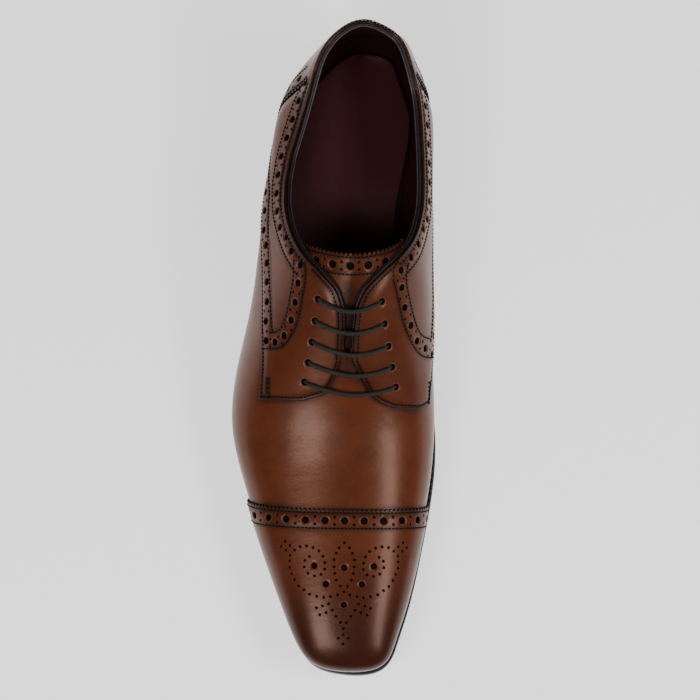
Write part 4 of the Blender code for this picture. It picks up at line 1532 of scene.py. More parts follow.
def make_vamp():
    us = [np.linspace(0, 0.22, 32), np.linspace(0.22, 0.76, 130)[1:], np.linspace(0.76, 1, 40)[1:]]

    def closing(u):
        return 1 - smooth_step((u - SLOT_CLOSES) / SLOT_CLOSING)

    grids = upper_grids(np.concatenate(us), np.linspace(0, 1, 46), closing)
    tops = []
    for u, v in grids:
        sunk = np.zeros(u.shape)
        for centre, bow, depth in VAMP_ROLLS:
            roll = np.exp(-(((u - centre - bow * v**2) / ROLL_LENGTH) ** 2))
            sunk += depth * roll * np.exp(-((v / ROLL_WIDTH) ** 4))
        tops.append(-sunk)
    hide = Hide("vamp", grids, tops, -trims().outer_leather, level_foot=True)
    dyed(hide, burnish_of(hide.u, hide.v), 0.25)
    # Painted shadow beside the overlays' edges, under the cap's edge and in the lace slot.
    for side in SIDES:
        lines = [front_line(side, 0.0), lower_line(side, 0.0, 0.29, 0.547)]
        shade_by(hide, lines + [collar_line(side, 0.0, 0.01, 0.48)], VAMP_SHADE)
    shade_by(hide, [cap_line(0.0)], CAP_FOOT_SHADE)
    shade_slot(hide, *VAMP_SLOT)
    piece(hide.build([calf()]), "vamp_leather", "upper")


def make_lining():
    grids = upper_grids(np.linspace(0, 1, 140), np.linspace(0, 1, 30), lambda u: 1.0)
    outer = -trims().outer_leather - 0.0001
    hide = Hide("lining", grids, [outer, outer], -UPPER_WALL, level_foot=True)
    finish = toned("lining_calf", "lining", 0.65, 1.0, 60, 0.5, bump=0.25, gloss=0.25)
    piece(hide.build([finish]), "sock_leather", "upper")


def cap_line(distance, reach=0.985):
    """A line ahead of the toe cap's edge."""
    v = np.linspace(reach, -reach, 400)
    path = np.stack([cap_start(v), v], 1)
    return moved(path, distance) if distance else spaced(path)


MEDALLION_AXIS = -0.0042
# Small holes as (off the axis, along), in millimetres, and mirrored over the axis.
MEDALLION = (
    (0, 252.4), (2.4, 254.8), (3.8, 257.3), (4.8, 260.4), (4.8, 263.8), (4.4, 266.9), (3.6, 270.1),
    (1.7, 272.9), (0, 275.6), (2.9, 277.0), (6.2, 277.8), (9.3, 278.2), (12.6, 277.7), (15.9, 276.7),
    (18.5, 274.6), (21.0, 272.6), (22.9, 269.6), (24.3, 266.7), (25.3, 263.7), (25.4, 260.6),
    (25.2, 258.0), (23.2, 255.7), (20.7, 254.2), (17.7, 253.9), (14.7, 254.7), (11.9, 256.3),
    (10.0, 258.9), (9.1, 261.9), (9.1, 264.9), (10.8, 267.4), (13.8, 268.1), (16.8, 266.8),
    (18.6, 263.8), (18.4, 260.7), (16.3, 258.9), (27.6, 251.4), (29.4, 253.6), (25.4, 253.5),
    (27.2, 255.5), (5.3, 284.1), (7.0, 281.2), (9.9, 282.2), (12.6, 283.1), (8.1, 285.3), (11.0, 286.3),
    (3.4, 287.1), (1.4, 290.0), (0, 292.7), (0, 295.6), (2.3, 297.3), (0, 299.9),
)
MEDALLION_BIG = ((0, 264.2), (14.0, 263.3), (8.5, 272.0), (0, 281.7))


def mirrored(points):
    """Chart points with their mirror images over the axis, as (along, across) in metres."""
    out = []
    for off, along in points:
        for side in (-1, 1) if off else (1,):
            out.append((along / 1000, MEDALLION_AXIS + side * off / 1000))
    return np.array(out)


def stops_about(path, across, spacing):
    """Lengths along a path an even spacing apart, one of them where it crosses a plan position."""
    length = lengths_of(path)
    middle = length[np.argmin(np.abs(on_surface(path)[:, 1] - across))]
    count = int(min(middle, length[-1] - middle) / spacing)
    return middle + np.arange(-count, count + 1) * spacing


def strip_about(gap):
    """1 on a dyed strip and 0 away from it, from the distance to its middle."""
    return 1 - smooth_step((gap - STRIP_HALF) / STRIP_FADE)


def make_toe_cap():
    sizes = trims()
    s = edged_start(CAP_GRID[0], CAP_GRID[2])
    t = np.linspace(-1, 1, CAP_GRID[1])
    u = cap_start(t)[None, :] * (1 - s[:, None]) + s[:, None]
    v = np.repeat(t[None, :], len(s), 0)
    top = OVER_TOP - rim_of(last(u, v), {"back": PLAIN_EDGE})
    hide = Hide("cap_leather", [(u, v)], [top], OVER_FOOT, level_foot=True)
    centre = cap_line(CAP_CENTRE, 0.97)
    strip = strip_about(distance_to(last(hide.u, hide.v), [centre]))
    dyed(hide, burnish_of(hide.u, hide.v), 0.20 + 0.80 * strip)
    rows = [cap_line(distance) for distance in CAP_ROWS]
    hide.groove(rows)
    shade_by(hide, [cap_line(0.0)], CAP_SHADE)
    stops = stops_about(centre, MEDALLION_AXIS, sizes.hole_spacing)
    spots, widths = strip_holes(along_path(centre, stops))
    small = on_last(*mirrored(MEDALLION).T)
    big = on_last(*mirrored(MEDALLION_BIG).T)
    medallion = [np.full(len(small), sizes.small_hole), np.full(len(big), 0.85 * sizes.big_hole)]
    spots = np.concatenate([spots, small, big])
    widths = np.concatenate([widths, *medallion])
    teeth = gimp_cutter("cap_teeth", cap_line(0.0, 0.97))
    punched_piece(hide, "cap", "toe_cap", spots, widths, [teeth], rows)


def stops_after(path, spacing):
    """Lengths along a path an even spacing apart, the first one spacing from its start."""
    return np.arange(1, int(lengths_of(path)[-1] / spacing) + 1) * spacing


def make_quarter(side):
    sizes = trims()
    name = "quarter_" + SIDES[side]
    across, down, spacing = QUARTER_GRID
    u, v = filled(*quarter_edges(side), edged(across, spacing), edged(down, spacing))
    v = v * side
    edges = {"back": PLAIN_EDGE, "front": PLAIN_EDGE, "lower": PLAIN_EDGE, "upper": QUARTER_SKIVE}
    hide = Hide(name + "_leather", [(u, v)], [OVER_TOP - rim_of(last(u, v), edges)], OVER_FOOT)
    foot_rear = COUNTER_FOOT[side] - 0.028
    top_rear = COUNTER_TOP[side] + 0.006
    tack = spaced(signed(TACK[side], side))
    rows = [
        heelward(lower_line(side, BAND_INNER, foot_rear, 0.471 if side < 0 else 0.474)),
        curved(signed(CORNER_INNER[side], side)),
        curved(signed(CORNER_OUTER[side], side)),
        collar_line(side, COLLAR_ROWS[0], top_rear, 0.403),
        collar_line(side, COLLAR_ROWS[1], top_rear + 0.016, 0.404),
        lower_line(side, EDGE_ROW, foot_rear - 0.02, 0.543),
        trimmed(front_line(side, FRONT_ROW), 0.001),
        collar_line(side, SLOT_ROW, 0.412, 0.506),
        shifted(tack, -TACK_HALF),
        shifted(tack, TACK_HALF),
    ]
    # Holes beyond the measured ones follow the collar and the lower edge.
    bigs = signed(BAND_HOLES[side], side)
    rear = heelward(lower_line(side, BAND_CENTRE, foot_rear, bigs[0, 0]))
    high = heelward(collar_line(side, COLLAR_CENTRE, top_rear + 0.006, bigs[-1, 0]))
    more = [along_path(path, stops_after(path, sizes.hole_spacing)) for path in (rear, high)]
    bigs = np.concatenate([more[0][::-1], bigs, more[1]])
    gap = distance_to(last(hide.u, hide.v), [curved(bigs)])
    hide.top = hide.top + BAND_RISE * (1 - smooth_step((gap - BAND_HALF) / BAND_FADE))
    facing = smooth_step((hide.u - 0.385) / 0.05) * smooth_step((0.66 - np.abs(hide.v)) / 0.25)
    dyed(hide, burnish_of(hide.u, hide.v), np.maximum(0.10 + 0.90 * facing, strip_about(gap)))
    hide.groove(rows)
    lower = lower_line(side, 0.0, foot_rear - 0.02, 0.546)
    shade_by(hide, [lower, front_line(side, 0.0)], QUARTER_SHADE)
    shade_by(hide, [collar_line(side, 0.0, top_rear, 0.50)], TOP_SHADE)
    spots, widths = strip_holes(bigs)
    eyelets = zip(*(listed(EYELETS, k + SIDES[side]) for k in ("u_", "v_")))
    spots = np.concatenate([spots, signed(list(eyelets), side)])
    widths = np.concatenate([widths, np.full(len(EYELETS), sizes.eyelet)])
    teeth = gimp_cutter(name + "_teeth", lower_line(side, 0.0, foot_rear, 0.488))
    punched_piece(hide, name, name, spots, widths, [teeth], rows)


def counter_line(side, distance, top=0.10, foot=0.94):
    """A line behind the counter's front edge."""
    share = np.linspace(top, foot, 160)
    us = COUNTER_TOP[side] * (1 - share) + COUNTER_FOOT[side] * share
    # Going down the lateral side and up the medial side, the heel is on the right.
    path = on_side(us, (top_edge(us, side) + QUARTER_MARGIN) * (1 - share) + share, side)
    return moved(path, -distance) if distance else spaced(path)


def make_counter():
    spacing = trims().hole_spacing
    t = edged(2.0, 2.0 / COUNTER_GRID[0], COUNTER_END_LINES)[:, None] * 2 - 1
    share = edged(*COUNTER_GRID[1:])[None, :]
    high_u, low_u = (np.where(t > 0, ends[1], ends[-1]) * t for ends in (COUNTER_TOP, COUNTER_FOOT))
    u = high_u * (1 - share) + low_u * share
    v = (round_top(u) + QUARTER_MARGIN) * (1 - share) + share
    edges = {"back": PLAIN_EDGE, "front": PLAIN_EDGE, "lower": COUNTER_SKIVE}
    top = COUNTER_RISE - rim_of(last(u, v), edges)
    hide = Hide("counter_leather", [(u, v)], [top], OVER_FOOT, level_foot=True)
    dyed(hide, burnish_of(hide.u, hide.v), 0.2)
    rows = []
    strips = []
    for side in SIDES:
        rows += [counter_line(side, COUNTER_ROWS[0]), counter_line(side, COUNTER_ROWS[1], 0.12)]
        centre = counter_line(side, COUNTER_CENTRE, 0.16, 0.93)
        stops = np.arange(0.002, lengths_of(centre)[-1] - 0.001, spacing)
        strips.append(strip_holes(along_path(centre, stops)))
    around = np.linspace(-0.14, 0.14, 400)
    rear = np.stack([around, round_top(around)], 1)
    rows.append(moved(rear, COUNTER_TOP_ROW))
    hide.groove(rows)
    shade_by(hide, [counter_line(side, 0.0) for side in SIDES] + [rear], TOP_SHADE)
    spots, widths = (np.concatenate(parts) for parts in zip(*strips))
    teeth = [gimp_cutter(f"counter_teeth_{side + 1}", counter_line(side, 0.0)[::-1]) for side in SIDES]
    punched_piece(hide, "counter", "counter", spots, widths, teeth, rows)


def tongue_line(distance, reach=0.93):
    """A line below the tongue's top edge."""
    k = np.linspace(reach, -reach, 200)
    path = np.stack([TONGUE_TOP - TONGUE_DIP * k**2, k * TONGUE_WIDTH], 1)
    return moved(path, distance) if distance else spaced(path)


def make_tongue():
    down, across, spacing = TONGUE_GRID
    t = edged_start(down, spacing)[:, None]
    k = (edged(across, spacing) * 2 - 1)[None, :]
    u = (TONGUE_TOP - TONGUE_DIP * k**2) * (1 - t) + TONGUE_FOOT * t
    v = k * TONGUE_WIDTH * (1 - TONGUE_TAPER * t) + 0.0 * u
    high = -UPPER_WALL - TONGUE_FACETS * FACET_GAP
    top = high - rim_of(last(u, v), {end: (0.0, 0.001) for end in ("back", "lower", "upper")})
    hide = Hide("tongue_leather", [(u, v)], [top], high - TONGUE)
    dyed(hide, 0.15, 0.8)
    rows = [tongue_line(distance) for distance in TONGUE_ROWS]
    hide.groove(rows)
    # Darker top edge with painted shade, and painted shadow along the slot.
    shade_by(hide, [tongue_line(0.0)], *TONGUE_SHADE)
    shade_slot(hide, *TONGUE_SLOT)
    centre = tongue_line(TONGUE_CENTRE)
    length = lengths_of(centre)
    middle = length[np.argmin(np.abs(on_surface(centre)[:, 1] - TONGUE_HOLE_ACROSS))]
    each_way = np.arange(-TONGUE_HOLES_EACH_WAY, TONGUE_HOLES_EACH_WAY + 1)
    stops = middle + each_way * (1.08 * trims().hole_spacing)
    stops = stops[(stops > 0.003) & (stops < length[-1] - 0.003)]
    spots, widths = strip_holes(along_path(centre, stops), 1.12)
    teeth = gimp_cutter("tongue_teeth", tongue_line(0.0), high)
    punched_piece(hide, "tongue", "tongue", spots, widths, [teeth], rows, high - 0.8 * TONGUE)


def swept(name, centres, widths, heights, half_width, half_height, sides, materials):
    """A closed bead along points in (along, across, up), with a UV map round and along it."""
    count = len(centres)
    turn = np.arange(sides) / sides * 2 * math.pi
    grow = np.broadcast_to(half_width, count)[:, None, None]
    lift = np.broadcast_to(half_height, count)[:, None, None]
    ring = (
        centres[:, None, :]
        + widths[:, None, :] * np.cos(turn)[None, :, None] * grow
        + heights[:, None, :] * np.sin(turn)[None, :, None] * lift
    )
    faces = ring_faces(count, sides)
    points = np.concatenate([ring.reshape(-1, 3), centres[:1], centres[-1:]])
    rear = (count - 1) * sides
    for j in range(sides):
        after = (j + 1) % sides
        faces += [(count * sides, after, j), (count * sides + 1, rear + j, rear + after)]
    obj = mesh_object(name, points, faces, materials)
    length = run_lengths(centres)
    round_at = np.concatenate([np.tile(np.arange(sides) / sides, count), [0, 0]])
    along_at = np.concatenate([np.repeat(length, sides), [0, length[-1]]])
    layer = obj.data.uv_layers.new(name="UVMap")
    corners = np.empty(len(obj.data.loops), np.int32)
    obj.data.loops.foreach_get("vertex_index", corners)
    starts = np.empty(len(obj.data.polygons), np.int32)
    totals = np.empty(len(obj.data.polygons), np.int32)
    obj.data.polygons.foreach_get("loop_start", starts)
    obj.data.polygons.foreach_get("loop_total", totals)
    across_at = round_at[corners]
    for start, total in zip(starts, totals):
        part = across_at[start : start + total]
        if part.max() - part.min() > 0.5:
            across_at[start : start + total] = np.where(part < 0.5, part + 1, part)
    uv = np.stack([across_at, along_at[corners] * 100], 1)
    layer.data.foreach_set("uv", uv.astype(np.float32).ravel())
    return obj


def collar_edge(reach):
    """(u, v) round the top edge, lateral front to medial front, past the heel."""
    u = np.linspace(-reach, reach, COLLAR_POINTS)
    return spaced(np.stack([u, round_top(u)], 1), 0.0008)


def make_collar():
    path = collar_edge(BINDING_END)
    normal = outward(path[:, 0], path[:, 1])
    edge = raised(path[:, 0], path[:, 1], -BEAD_SINK)
    rise = unit(np.cross(np.gradient(edge, axis=0), normal))
    rise = rise * np.sign(rise[:, 2:3])
    centres = edge + rise * BEAD_TALL * 0.25
    dark = toned("binding_calf", "binding", 0.6, 1.0, 120, 0.45, gloss=0.35)
    bead = swept("collar_bead", centres, normal, rise, BEAD_WIDE / 2, BEAD_TALL / 2, 16, [dark])
    piece(bead, "binding_leather", "collar_binding")
    inner = centres - normal * BEAD_WIDE / 2 + rise * PIPING_LIFT
    # The piping's grey is a painted highlight along a dark cord.
    light = toned("piping", "piping", 0.7, 1.0, 200, 0.4, coat=0.2)
    line = swept("collar_piping", inner, normal, rise, PIPING_RADIUS, PIPING_RADIUS, 10, [light])
    piece(line, "binding_leather", "collar_binding")
    trim = spaced(collar_edge(EDGING_END), COARSE_STEP)
    u, v = np.stack([shifted(trim, down) for down in EDGING_LINES], 2).transpose(1, 0, 2)
    # The strip lies on the skived edges of the quarters and the counter.
    down = np.array(EDGING_LINES)[None, :] + 0.0 * u
    over_quarter = OVER_TOP - QUARTER_SKIVE[0] * (1 - smooth_step(down / QUARTER_SKIVE[1]))
    over_counter = COUNTER_RISE - COUNTER_SKIVE[0] * (1 - smooth_step(down / COUNTER_SKIVE[1]))
    ride = np.maximum(over_quarter, over_counter) + EDGING_GAP
    top = ride + EDGING_THICK - rim_of(last(u, v), {"upper": (0.0, 0.001)}, EDGING_ROUND)
    hide = Hide("collar_edging", [(u, v)], [top], 0.0)
    tree = tree_of(last(u.ravel(), v.ravel()))
    hide.bottom = np.array([ride.ravel()[tree.find(place)[1]] for place in last(hide.u, hide.v)])
    teeth = gimp_cutter("edging_teeth", spaced(shifted(trim, EDGING_LINES[-1])[::-1]))
    strip = toned("edging_calf", "burnished", 1.0, 1.8, 150, 0.5, gloss=0.3)
    piece(worked(hide, [strip, cut_edge()], [teeth]), "binding_leather", "collar_binding")


# The sole, heel and sock
def half_outline(inset, count):
    """The foot of the upper's outer face moved inward: its lateral half and its medial half."""
    us = np.linspace(0, 1, count)
    points = []
    for side in SIDES:
        v = np.full(count, float(side))
        run = unit((last(us + STEP, v) - last(us - STEP, v))[:, :2])
        inward = np.stack([-run[:, 1], run[:, 0]], 1) * -side
        points.append(last(us, v)[:, :2] + inward * np.broadcast_to(inset, count)[:, None])
    return points


def loop_outline(inset, count):
    """The outline as one closed loop: heel, lateral side, toe, medial side."""
    lateral, medial = half_outline(inset, count)
    return np.concatenate([lateral, medial[-2:0:-1]])


def ladder(loop, height, count, cells):
    """Points and faces that close a loop with strips from the lateral to the medial side."""
    points = []
    lines = [[0]]
    size = 2 * count - 2
    total = size
    for i in range(1, count - 1):
        a = i
        b = size - i
        line = [a]
        for k in range(1, cells):
            share = k / cells
            flat = loop[a] * (1 - share) + loop[b] * share
            points.append([flat[0], flat[1], height(flat[0], share)])
            line.append(total)
            total += 1
        line.append(b)
        lines.append(line)
    lines.append([count - 1])
    faces = []
    for one, two in zip(lines[:-1], lines[1:]):
        if len(one) == 1:
            faces += [[one[0], two[k], two[k + 1]] for k in range(cells)]
        elif len(two) == 1:
            faces += [[one[k], two[0], one[k + 1]] for k in range(cells)]
        else:
            faces += [[one[k], two[k], two[k + 1], one[k + 1]] for k in range(cells)]
    return points, faces


def stacked(name, rings, count, cells, materials):
    """A solid from closed rings, lowest first, each (loop, height function), its ends closed."""
    size = 2 * count - 2
    points = []
    for loop, height in rings:
        points += [[p[0], p[1], float(height(p[0], 0.0))] for p in loop]
    faces = ring_faces(len(rings), size)
    for level in (0, len(rings) - 1):
        loop, height = rings[level]
        added, closing = ladder(loop, height, count, cells)
        start = len(points)
        points += [[p[0], p[1], float(p[2])] for p in added]
        shift = [level * size + i if i < size else start + i - size for i in range(size + len(added))]
        faces += [[shift[i] for i in face] for face in closing]
    return mesh_object(name, np.array(points), faces, materials)


def projection(us):
    """How far the welt and outsole stand out past the upper's foot, heel to toe."""
    return eased(us, PROJECTION_AT, PROJECTION_SHARES) * WELT_PROJECTION


def make_outsole():
    out = projection(np.linspace(0, 1, SOLE_POINTS))
    rings = []
    for inset, lift in SOLE_PROFILE:
        loop = loop_outline(-out + inset, SOLE_POINTS)
        rings.append((loop, lambda along, share, lift=lift: underside(along) + lift * OUTSOLE))
    tone = shades().sole
    finish = Finish("sole_leather_worn")
    cloud = finish.noise(30, 4, 0.6)
    fibre = finish.noise(900, 3, 0.6, stretch=(1.0, 0.35, 1.0))
    finish.shade(
        Base_Color=finish.mixed((cloud * 0.6 + fibre * 0.5 - 0.05).kept(), [c * 0.55 for c in tone], tone),
        Roughness=cloud * 0.16 + 0.34,
        Normal=finish.bump(fibre, 0.15, 0.0002),
        Coat_Weight=0.2,
        Coat_Roughness=0.2,
    )
    piece(stacked("outsole_dressed", rings, SOLE_POINTS, 14, [finish.material]), "sole_leather", "outsole")


def make_welt():
    out = projection(np.linspace(0, 1, WELT_POINTS))
    inside = UPPER_WALL + WELT_INSIDE
    profile = [(-out + inset, lift) for inset, lift in WELT_PROFILE] + [(inside, 1.0), (inside, 0.0)]
    points = []
    for inset, lift in profile:
        loop = loop_outline(inset, WELT_POINTS)
        points.append(np.column_stack([loop, underside(loop[:, 0]) + OUTSOLE + GAP + WELT * lift]))
    points = np.concatenate(points)
    faces = ring_faces(len(profile) + 1, 2 * WELT_POINTS - 2)
    faces = [[i % len(points) for i in face] for face in faces]
    finish = toned("welt_leather_dark", "sole", 0.5, 1.0, 150, 0.4, coat=0.2)
    piece(mesh_object("welt_dressed", points, faces, [finish]), "welt_leather", "welt")
    loop = loop_outline(-out * 0.52, WELT_POINTS)
    loop = np.concatenate([loop, loop[:1]])
    line = np.column_stack([loop, underside(loop[:, 0]) + OUTSOLE + GAP + WELT])
    length = run_lengths(line)
    line = taken(np.arange(0, length[-1], PATH_STEP), length, line)
    facing = np.tile([0.0, 0.0, 1.0], (len(line), 1))
    share, wide, tall = WELT_STITCH
    pitch = trims().welt_pitch
    stitch = (pitch, pitch * share, wide, tall)
    obj = repeated("welt_stitches", "Welt row", [placed(line)], [facing], stitch_shape(), thread(), stitch)
    smooth_shaded(obj.data, THREAD_SHARP)
    piece(obj, "welt_leather")


def heel_loop(inset, count):
    """The sole's outline behind the heel breast, as half outlines that meet at the breast line."""
    out = projection(np.linspace(0, 1, BREAST_POINTS))
    loop = []
    for half in half_outline(-out + inset, BREAST_POINTS):
        length = run_lengths(half)
        stop = np.interp(HEEL_BREAST * SOLE_LENGTH, half[:, 0], length)
        loop.append(taken(np.linspace(0, stop, count), length, half))
    lateral, medial = loop
    k = np.linspace(0, 1, HEEL_FRONT_STEPS + 2)[1:-1, None]
    front = lateral[-1] * (1 - k) + medial[-1] * k
    front[:, 0] -= HEEL_BREAST_CURVE * 4 * (k * (1 - k))[:, 0]
    return np.concatenate([lateral, front, medial[:0:-1]])


def heel_block(name, levels, materials):
    """A heel layer from rings, each (inset, height function)."""
    points = []
    for inset, height in levels:
        points += [[p[0], p[1], float(height(p[0]))] for p in heel_loop(inset, HEEL_POINTS)]
    size = len(points) // len(levels)
    faces = ring_faces(len(levels), size)
    for level in (0, len(levels) - 1):
        start = level * size
        faces.append([start, start + 1, start + size - 1])
        for i in range(1, size // 2):
            if size - i - 1 > i + 1:
                faces.append([start + i, start + i + 1, start + size - i - 1, start + size - i])
            elif size - i > i + 1:
                faces.append([start + i, start + i + 1, start + size - i])
    return mesh_object(name, np.array(points), faces, materials)


def make_heel():
    low = TOP_PIECE + GAP
    levels = []
    for lift in range(HEEL_LIFTS):
        for share, notch in ((0.0, LIFT_NOTCH), (0.07, 0.0), (0.93, 0.0), (1.0, LIFT_NOTCH)):
            part = (lift + share) / HEEL_LIFTS
            inset = STACK_TAPER + (SOLE_EDGE_ROUND / 2 - STACK_TAPER) * part + notch
            levels.append(
                (inset, lambda along, part=part: low + (underside(along) - FACET_GAP - low) * part)
            )
    levels = [level for i, level in enumerate(levels) if i == 0 or i % 4 or i == len(levels) - 1]
    finish = toned("heel_lifts", "sole", 0.6, 1.0, 90, 0.5, stretch=(1, 1, 12), gloss=0.3)
    piece(heel_block("heel_stack_dressed", levels, [finish]), "heel_leather", "heel_stack")
    rubber = Finish("heel_rubber_worn")
    grit = rubber.noise(1400, 3, 0.7)
    wear = rubber.noise(40, 3, 0.6)
    base = rubber.mixed((wear * 0.7 + grit * 0.4 - 0.1).kept(), (0.010, 0.010, 0.010), (0.028, 0.026, 0.024))
    rubber.shade(Base_Color=base, Roughness=wear * 0.2 + 0.6, Normal=rubber.bump(grit, 0.3, 0.0002))
    rim = RUBBER_ROUND
    rings = (
        (HEEL_TAPER + 2 * rim, 0.0),
        (HEEL_TAPER + rim, 0.15 * rim),
        (HEEL_TAPER, rim),
        (STACK_TAPER, TOP_PIECE - rim / 2),
        (STACK_TAPER + rim / 2, TOP_PIECE),
    )
    levels = [(inset, lambda along, up=up: 0.0 * along + up) for inset, up in rings]
    piece(heel_block("heel_top_piece_dressed", levels, [rubber.material]), "heel_rubber", "heel_top_piece")
    loop = heel_loop(NAIL_INSET, NAIL_POINTS)
    loop = np.concatenate([loop[NAIL_POINTS + 2 + HEEL_FRONT_STEPS :], loop[: NAIL_POINTS - 2]])
    line = np.column_stack([loop, np.full(len(loop), 0.0001)])
    facing = np.tile([0.0, 0.0, -1.0], (len(line), 1))
    brass = once("nail_brass", nail_brass)
    nail = (NAIL_PITCH, NAIL_WIDE, NAIL_WIDE, NAIL_TALL)
    shape = turned_shape("nail_shape", ((0.35, -0.8), (0.5, 0.0), (0.44, 0.1)), 10)
    obj = repeated("heel_nails", "Nail row", [placed(line)], [facing], shape, brass, nail)
    smooth_shaded(obj.data)
    piece(obj, "heel_rubber")


def make_sock():
    wall = UPPER_WALL + FACET_GAP * 0.6
    full = loop_outline(wall, SOCK_POINTS)
    inset = loop_outline(wall + SOCK_ROUND, SOCK_POINTS)
    filler = loop_outline(UPPER_WALL + WELT_INSIDE + FACET_GAP, SOCK_POINTS)

    def low(along, share):
        return underside(along) + OUTSOLE + FACET_GAP

    def step(along, share):
        return welt_top(along) + FACET_GAP

    def side(along, share):
        return welt_top(along) + FACET_GAP + INSOLE - 0.0005

    def high(along, share):
        dish = SOCK_DISH * math.sin(math.pi * share) ** 2
        return welt_top(along) + FACET_GAP + INSOLE + 0.0003 - dish

    finish = toned("sock_calf", "sock", 0.6, 1.0, 45, 0.6, bump=0.3, distance=0.0003, gloss=0.15)
    rings = [(filler, low), (filler, step), (full, step), (full, side), (inset, high)]
    piece(stacked("sock", rings, SOCK_POINTS, 16, [finish]), "sock_leather", "insole")


def lace_braid():
    """Waxed braid: two crossing sets of ribs along the lace."""
    tone = shades().lace
    finish = Finish("lace_braid")
    around, along, _ = finish.axes(finish.add("ShaderNodeTexCoord").outputs["UV"])
    round_turn = around * (2 * math.pi * BRAID_ROUND)
    along_turn = along * (2 * math.pi * BRAID_ALONG)
    one = (round_turn + along_turn).maths("SINE")
    two = (round_turn - along_turn).maths("SINE")
    weave = one.maths("MAXIMUM", two) * 0.5 + 0.5
    fuzz = finish.noise(2500, 3, 0.7)
    return finish.shade(
        Base_Color=finish.mixed((weave * 0.7 + fuzz * 0.35).kept(), [c * 0.35 for c in tone], tone),
        Roughness=fuzz * 0.2 + 0.55,
        Normal=finish.bump(weave * 0.8 + fuzz * 0.2, 0.7, 0.00022),
        Specular_IOR_Level=0.3,
    )


def make_laces():
    braid = lace_braid()
    for number, eyelet in enumerate(EYELETS):
        t = np.linspace(0, 1, 90)
        u = eyelet.u_lateral * (1 - t) + eyelet.u_medial * t + LACE_SAG * np.sin(math.pi * t)
        v = -eyelet.v_lateral * (1 - t) + eyelet.v_medial * t
        length = run_lengths(last(u, v))
        gap = np.minimum(length, length[-1] - length)
        height = LACE_DIP + (LACE_TOP - LACE_DIP) * smooth_step((gap - LACE_RAMP[0]) / LACE_RAMP[1])
        height = height + LACE_SWELL[number] * np.sin(3 * math.pi * t + number)
        centres = raised(u, v, height)
        heading = unit(np.gradient(centres, axis=0))
        wide = unit(np.cross(outward(u, v), heading))
        tall = unit(np.cross(heading, wide))
        pinch = 1 - LACE_PINCH * (1 - smooth_step(gap / 0.003))
        half_wide, half_tall = LACE_WIDE / 2 * pinch, LACE_TALL / 2 * pinch
        obj = swept(f"lace_{number + 1}", centres, wide, tall, half_wide, half_tall, 18, [braid])
        piece(obj, "lace_cord", f"lace_bar_{number + 1}")


# The stage
def linked(name, data, place, turn):
    """A camera or a light put in the scene, turned by a 3 by 3 matrix."""
    obj = bpy.data.objects.new(name, data)
    obj.matrix_world = Matrix.Translation(place) @ turn.to_4x4()
    bpy.context.scene.collection.objects.link(obj)
    return obj


def make_softbox(name, place, target, wide, tall, power):
    data = bpy.data.lights.new(name, "AREA")
    data.shape = "RECTANGLE"
    data.size = wide
    data.size_y = tall
    data.energy = power * trims().light
    turn = (Vector(target) - Vector(place)).to_track_quat("-Z", "Y")
    linked(name, data, place, turn.to_matrix())


def make_stage():
    mesh = bpy.data.meshes.new("floor")
    half = FLOOR_HALF
    corners = [(-half, -half), (half, -half), (half, half), (-half, half)]
    points = [(x, y, z) for z in (FLOOR_HEIGHT - FLOOR_THICK, FLOOR_HEIGHT) for x, y in corners]
    mesh.from_pydata(points, [], tube_faces(2, 4))
    floor = new_object("floor", mesh)
    finish = Finish("floor_paper")
    finish.shade(
        Base_Color=finish.mixed(finish.noise(3, 2, 0.5) * 0.3, (0.90, 0.90, 0.90), (0.94, 0.94, 0.94)),
        Roughness=0.9,
        Emission_Color=(1.0, 1.0, 1.0, 1.0),
        Emission_Strength=FLOOR_GLOW,
    )
    mesh.materials.append(finish.material)
    world = bpy.data.worlds.new("studio")
    world.use_nodes = True
    ground = world.node_tree.nodes["Background"]
    ground.inputs["Color"].default_value = (1.0, 1.0, 1.0, 1.0)
    ground.inputs["Strength"].default_value = WORLD_LIGHT
    bpy.context.scene.world = world
    for softbox in SOFTBOXES:
        make_softbox(*softbox)
    make_camera()


def make_camera():
    """The photograph's view: from above the shoe, a little behind it and to its lateral side."""
    back = unit(np.array(CAMERA_BACK))
    up = unit(np.array([0.0, 1.0, 0.0]) - back * back[1])
    right = np.cross(up, back)
    roll = math.radians(CAMERA_ROLL)
    axes = (right * math.cos(roll) + up * math.sin(roll), up * math.cos(roll) - right * math.sin(roll), back)
    data = bpy.data.cameras.new("photo_view")
    data.sensor_width = 36.0
    data.lens = CAMERA_LENS
    data.shift_x, data.shift_y = CAMERA_SHIFT
    data.clip_start = 0.05
    data.clip_end = 20.0
    camera = linked("photo_view", data, CAMERA_PLACE, Matrix(np.column_stack(axes).tolist()))
    bpy.context.scene.camera = camera


# The add-on
def length_property(label, words, default):
    return bpy.props.FloatProperty(
        name=label, description=words, default=default, min=0.0, unit="LENGTH", precision=5
    )


def color_property(label, words, default):
    return bpy.props.FloatVectorProperty(
        name=label, description=words, default=default, size=3, min=0.0, max=1.0, subtype="COLOR"
    )


